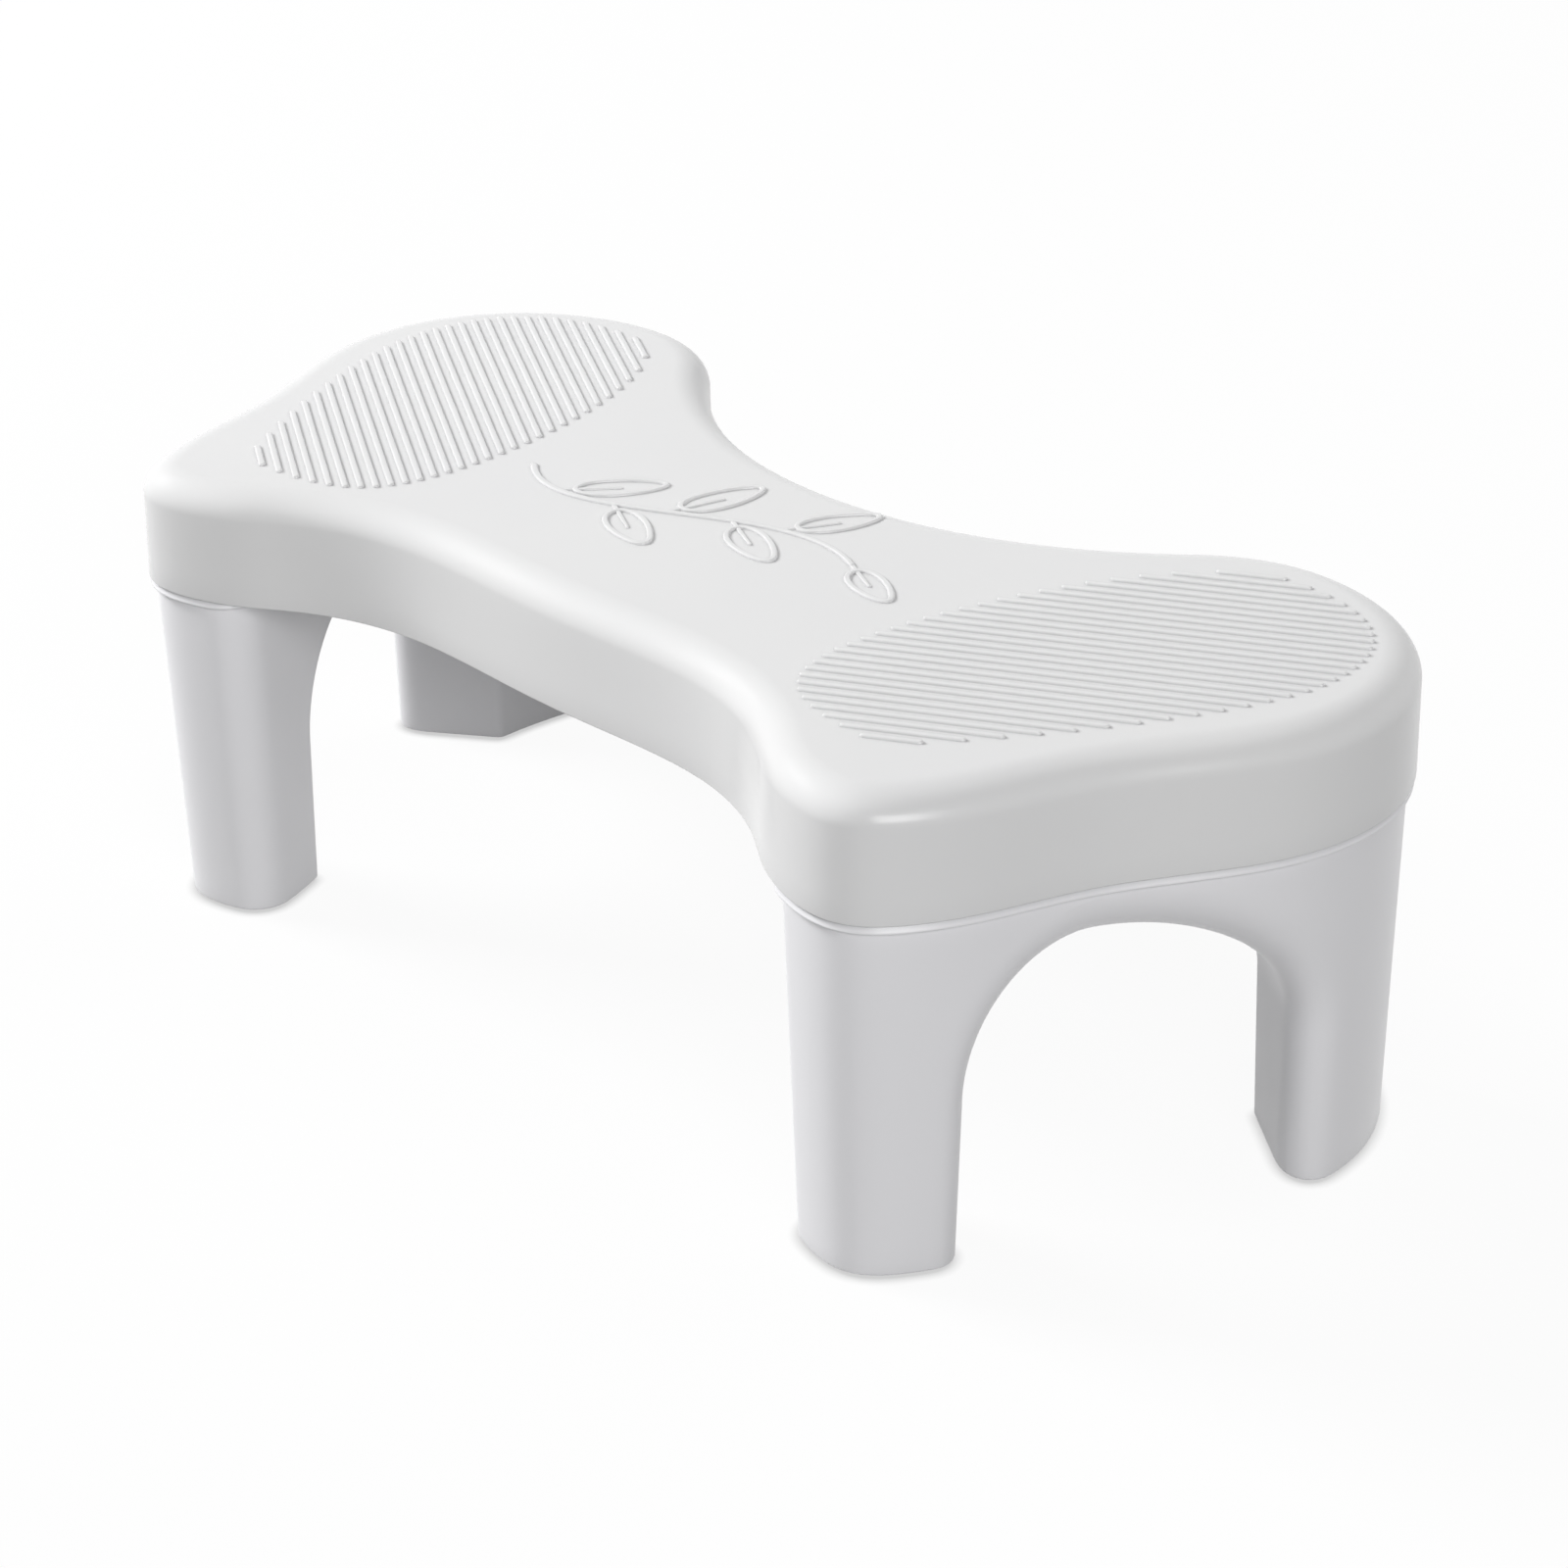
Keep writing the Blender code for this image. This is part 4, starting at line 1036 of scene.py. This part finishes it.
# Studio
def seen_factor(tree):
    """One for rays that show the surroundings, by themselves or in gloss and glass."""
    path = add_node(tree, "ShaderNodeLightPath")
    both = add_node(tree, "ShaderNodeMath", operation="MAXIMUM")
    link(tree, path, "Is Camera Ray", both, 0)
    link(tree, path, "Is Glossy Ray", both, 1)
    every = add_node(tree, "ShaderNodeMath", operation="MAXIMUM")
    link(tree, both, 0, every, 0)
    link(tree, path, "Is Transmission Ray", every, 1)
    return every


def mixed(tree, factor, lighting, shown, output):
    """Use one shader for the lighting and another one where the surroundings are seen."""
    mix = add_node(tree, "ShaderNodeMixShader")
    link(tree, factor, 0, mix, 0)
    link(tree, lighting, 0, mix, 1)
    link(tree, shown, 0, mix, 2)
    link(tree, mix, 0, tree.nodes[output], "Surface")


def plain_floor():
    """A pale floor that looks white, with the stool's soft shadow and a painted contact shade,
    where occlusion near the feet dims its glow.
    """
    material, tree, bounce = new_material("studio_floor")
    bounce.inputs["Base Color"].default_value = (*FLOOR_BOUNCE, 1)
    bounce.inputs["Roughness"].default_value = FLOOR_ROUGHNESS
    shadow = add_node(tree, "ShaderNodeBsdfDiffuse")
    shadow.inputs["Color"].default_value = (*[FLOOR_SHADOW] * 3, 1)
    # Painted shade: the glow that the camera sees dims where occlusion finds the feet close by
    shade = add_node(tree, "ShaderNodeAmbientOcclusion", Distance=PAINTED_CONTACT_REACH)
    contact = between(tree, shade, PAINTED_CONTACT_SHADE, FLOOR_GLOW, *PAINTED_CONTACT_LIMITS)
    glow = add_node(tree, "ShaderNodeEmission")
    link(tree, contact, 0, glow, "Strength")
    shown = add_node(tree, "ShaderNodeAddShader")
    link(tree, shadow, 0, shown, 0)
    link(tree, glow, 0, shown, 1)
    mixed(tree, seen_factor(tree), bounce, shown, "Material Output")
    mesh = bpy.data.meshes.new("floor")
    half = FLOOR_SIZE / 2
    mesh.from_pydata([(-half, -half, 0), (half, -half, 0), (half, half, 0), (-half, half, 0)],
                     [], [(0, 1, 2, 3)])
    mesh.materials.append(material)
    floor = new_object("floor", mesh)


def surroundings():
    """White where it is seen, and a dim even room for the lighting."""
    world = bpy.data.worlds.new("studio")
    bpy.context.scene.world = world
    world.use_nodes = True
    tree = world.node_tree
    room = tree.nodes["Background"]
    room.inputs["Color"].default_value = (*ROOM_COLOUR, 1)
    room.inputs["Strength"].default_value = ROOM_LIGHT
    white = add_node(tree, "ShaderNodeBackground", Strength=1.0)
    white.inputs["Color"].default_value = (*SEEN_COLOUR, 1)
    mixed(tree, seen_factor(tree), room, white, "World Output")


def softbox(name, azimuth, elevation, power, size, matt, glossy):
    """A large soft lamp that points at the stool and lights matt or glossy surfaces, or both."""
    light = bpy.data.lights.new(name, "AREA")
    light.shape = "RECTANGLE"
    light.size, light.size_y = size
    light.energy = power
    lamp = new_object(name, light)
    level = cos(radians(elevation))
    direction = Vector((level * cos(radians(azimuth)), level * sin(radians(azimuth)),
                        sin(radians(elevation))))
    lamp.location = Vector((0, 0, LAMP_TARGET_HEIGHT)) + direction * LAMP_DISTANCE
    lamp.rotation_euler = direction.to_track_quat("Z", "Y").to_euler()
    lamp.visible_diffuse = matt
    lamp.visible_glossy = glossy


def camera():
    """The photograph's view, from the near right and above."""
    right = (0.67962633, 0.73353273, -0.00614685)
    up = (-0.32091921, 0.30484945, 0.89670378)
    back = (0.65963544, -0.60745086, 0.44258845)
    place = (0.85544, -0.76340, 0.63389)
    data = bpy.data.cameras.new("photo_camera")
    data.sensor_width = 36.0
    data.lens = 85.6346
    data.clip_start = 0.05
    data.clip_end = 50.0
    data.dof.use_dof = False
    viewer = new_object("photo_camera", data)
    viewer.matrix_world = Matrix([[right[i], up[i], back[i], place[i]] for i in range(3)]
                                 + [[0, 0, 0, 1]])
    bpy.context.scene.camera = viewer


def main():
    for existing in list(bpy.data.objects):
        bpy.data.objects.remove(existing)
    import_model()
    top_finish = moulded("white_top_plastic", TOP_COLOUR, TOP_TINT, TOP_ROUGHNESS)
    leg_finish = moulded("white_leg_plastic", LEG_COLOUR, LEG_TINT, LEG_ROUGHNESS)
    pad_finish = rubber("grey_foot_rubber", RUBBER_COLOUR)
    top = make_top(top_finish)
    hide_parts("top_shell")
    dressed = [(top, "top_plastic")]
    dressed += [(piece, "top_plastic") for piece in make_treads(top_finish)]
    dressed.append((make_sprig(top_finish), "top_plastic"))
    frames, sections = make_frames(leg_finish)
    for piece, node in zip(frames, ("leg_frame_right", "leg_frame_left")):
        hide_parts(node)
        dressed.append((piece, "leg_plastic"))
    for piece, node in make_pads(sections, pad_finish):
        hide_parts(node)
        dressed.append((piece, "foot_rubber"))
    for piece, slot in dressed:
        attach(piece, "root")
    plain_floor()
    surroundings()
    for lamp in LAMPS:
        softbox(*lamp)
    camera()
    bpy.context.scene.view_settings.view_transform = "Standard"


main()
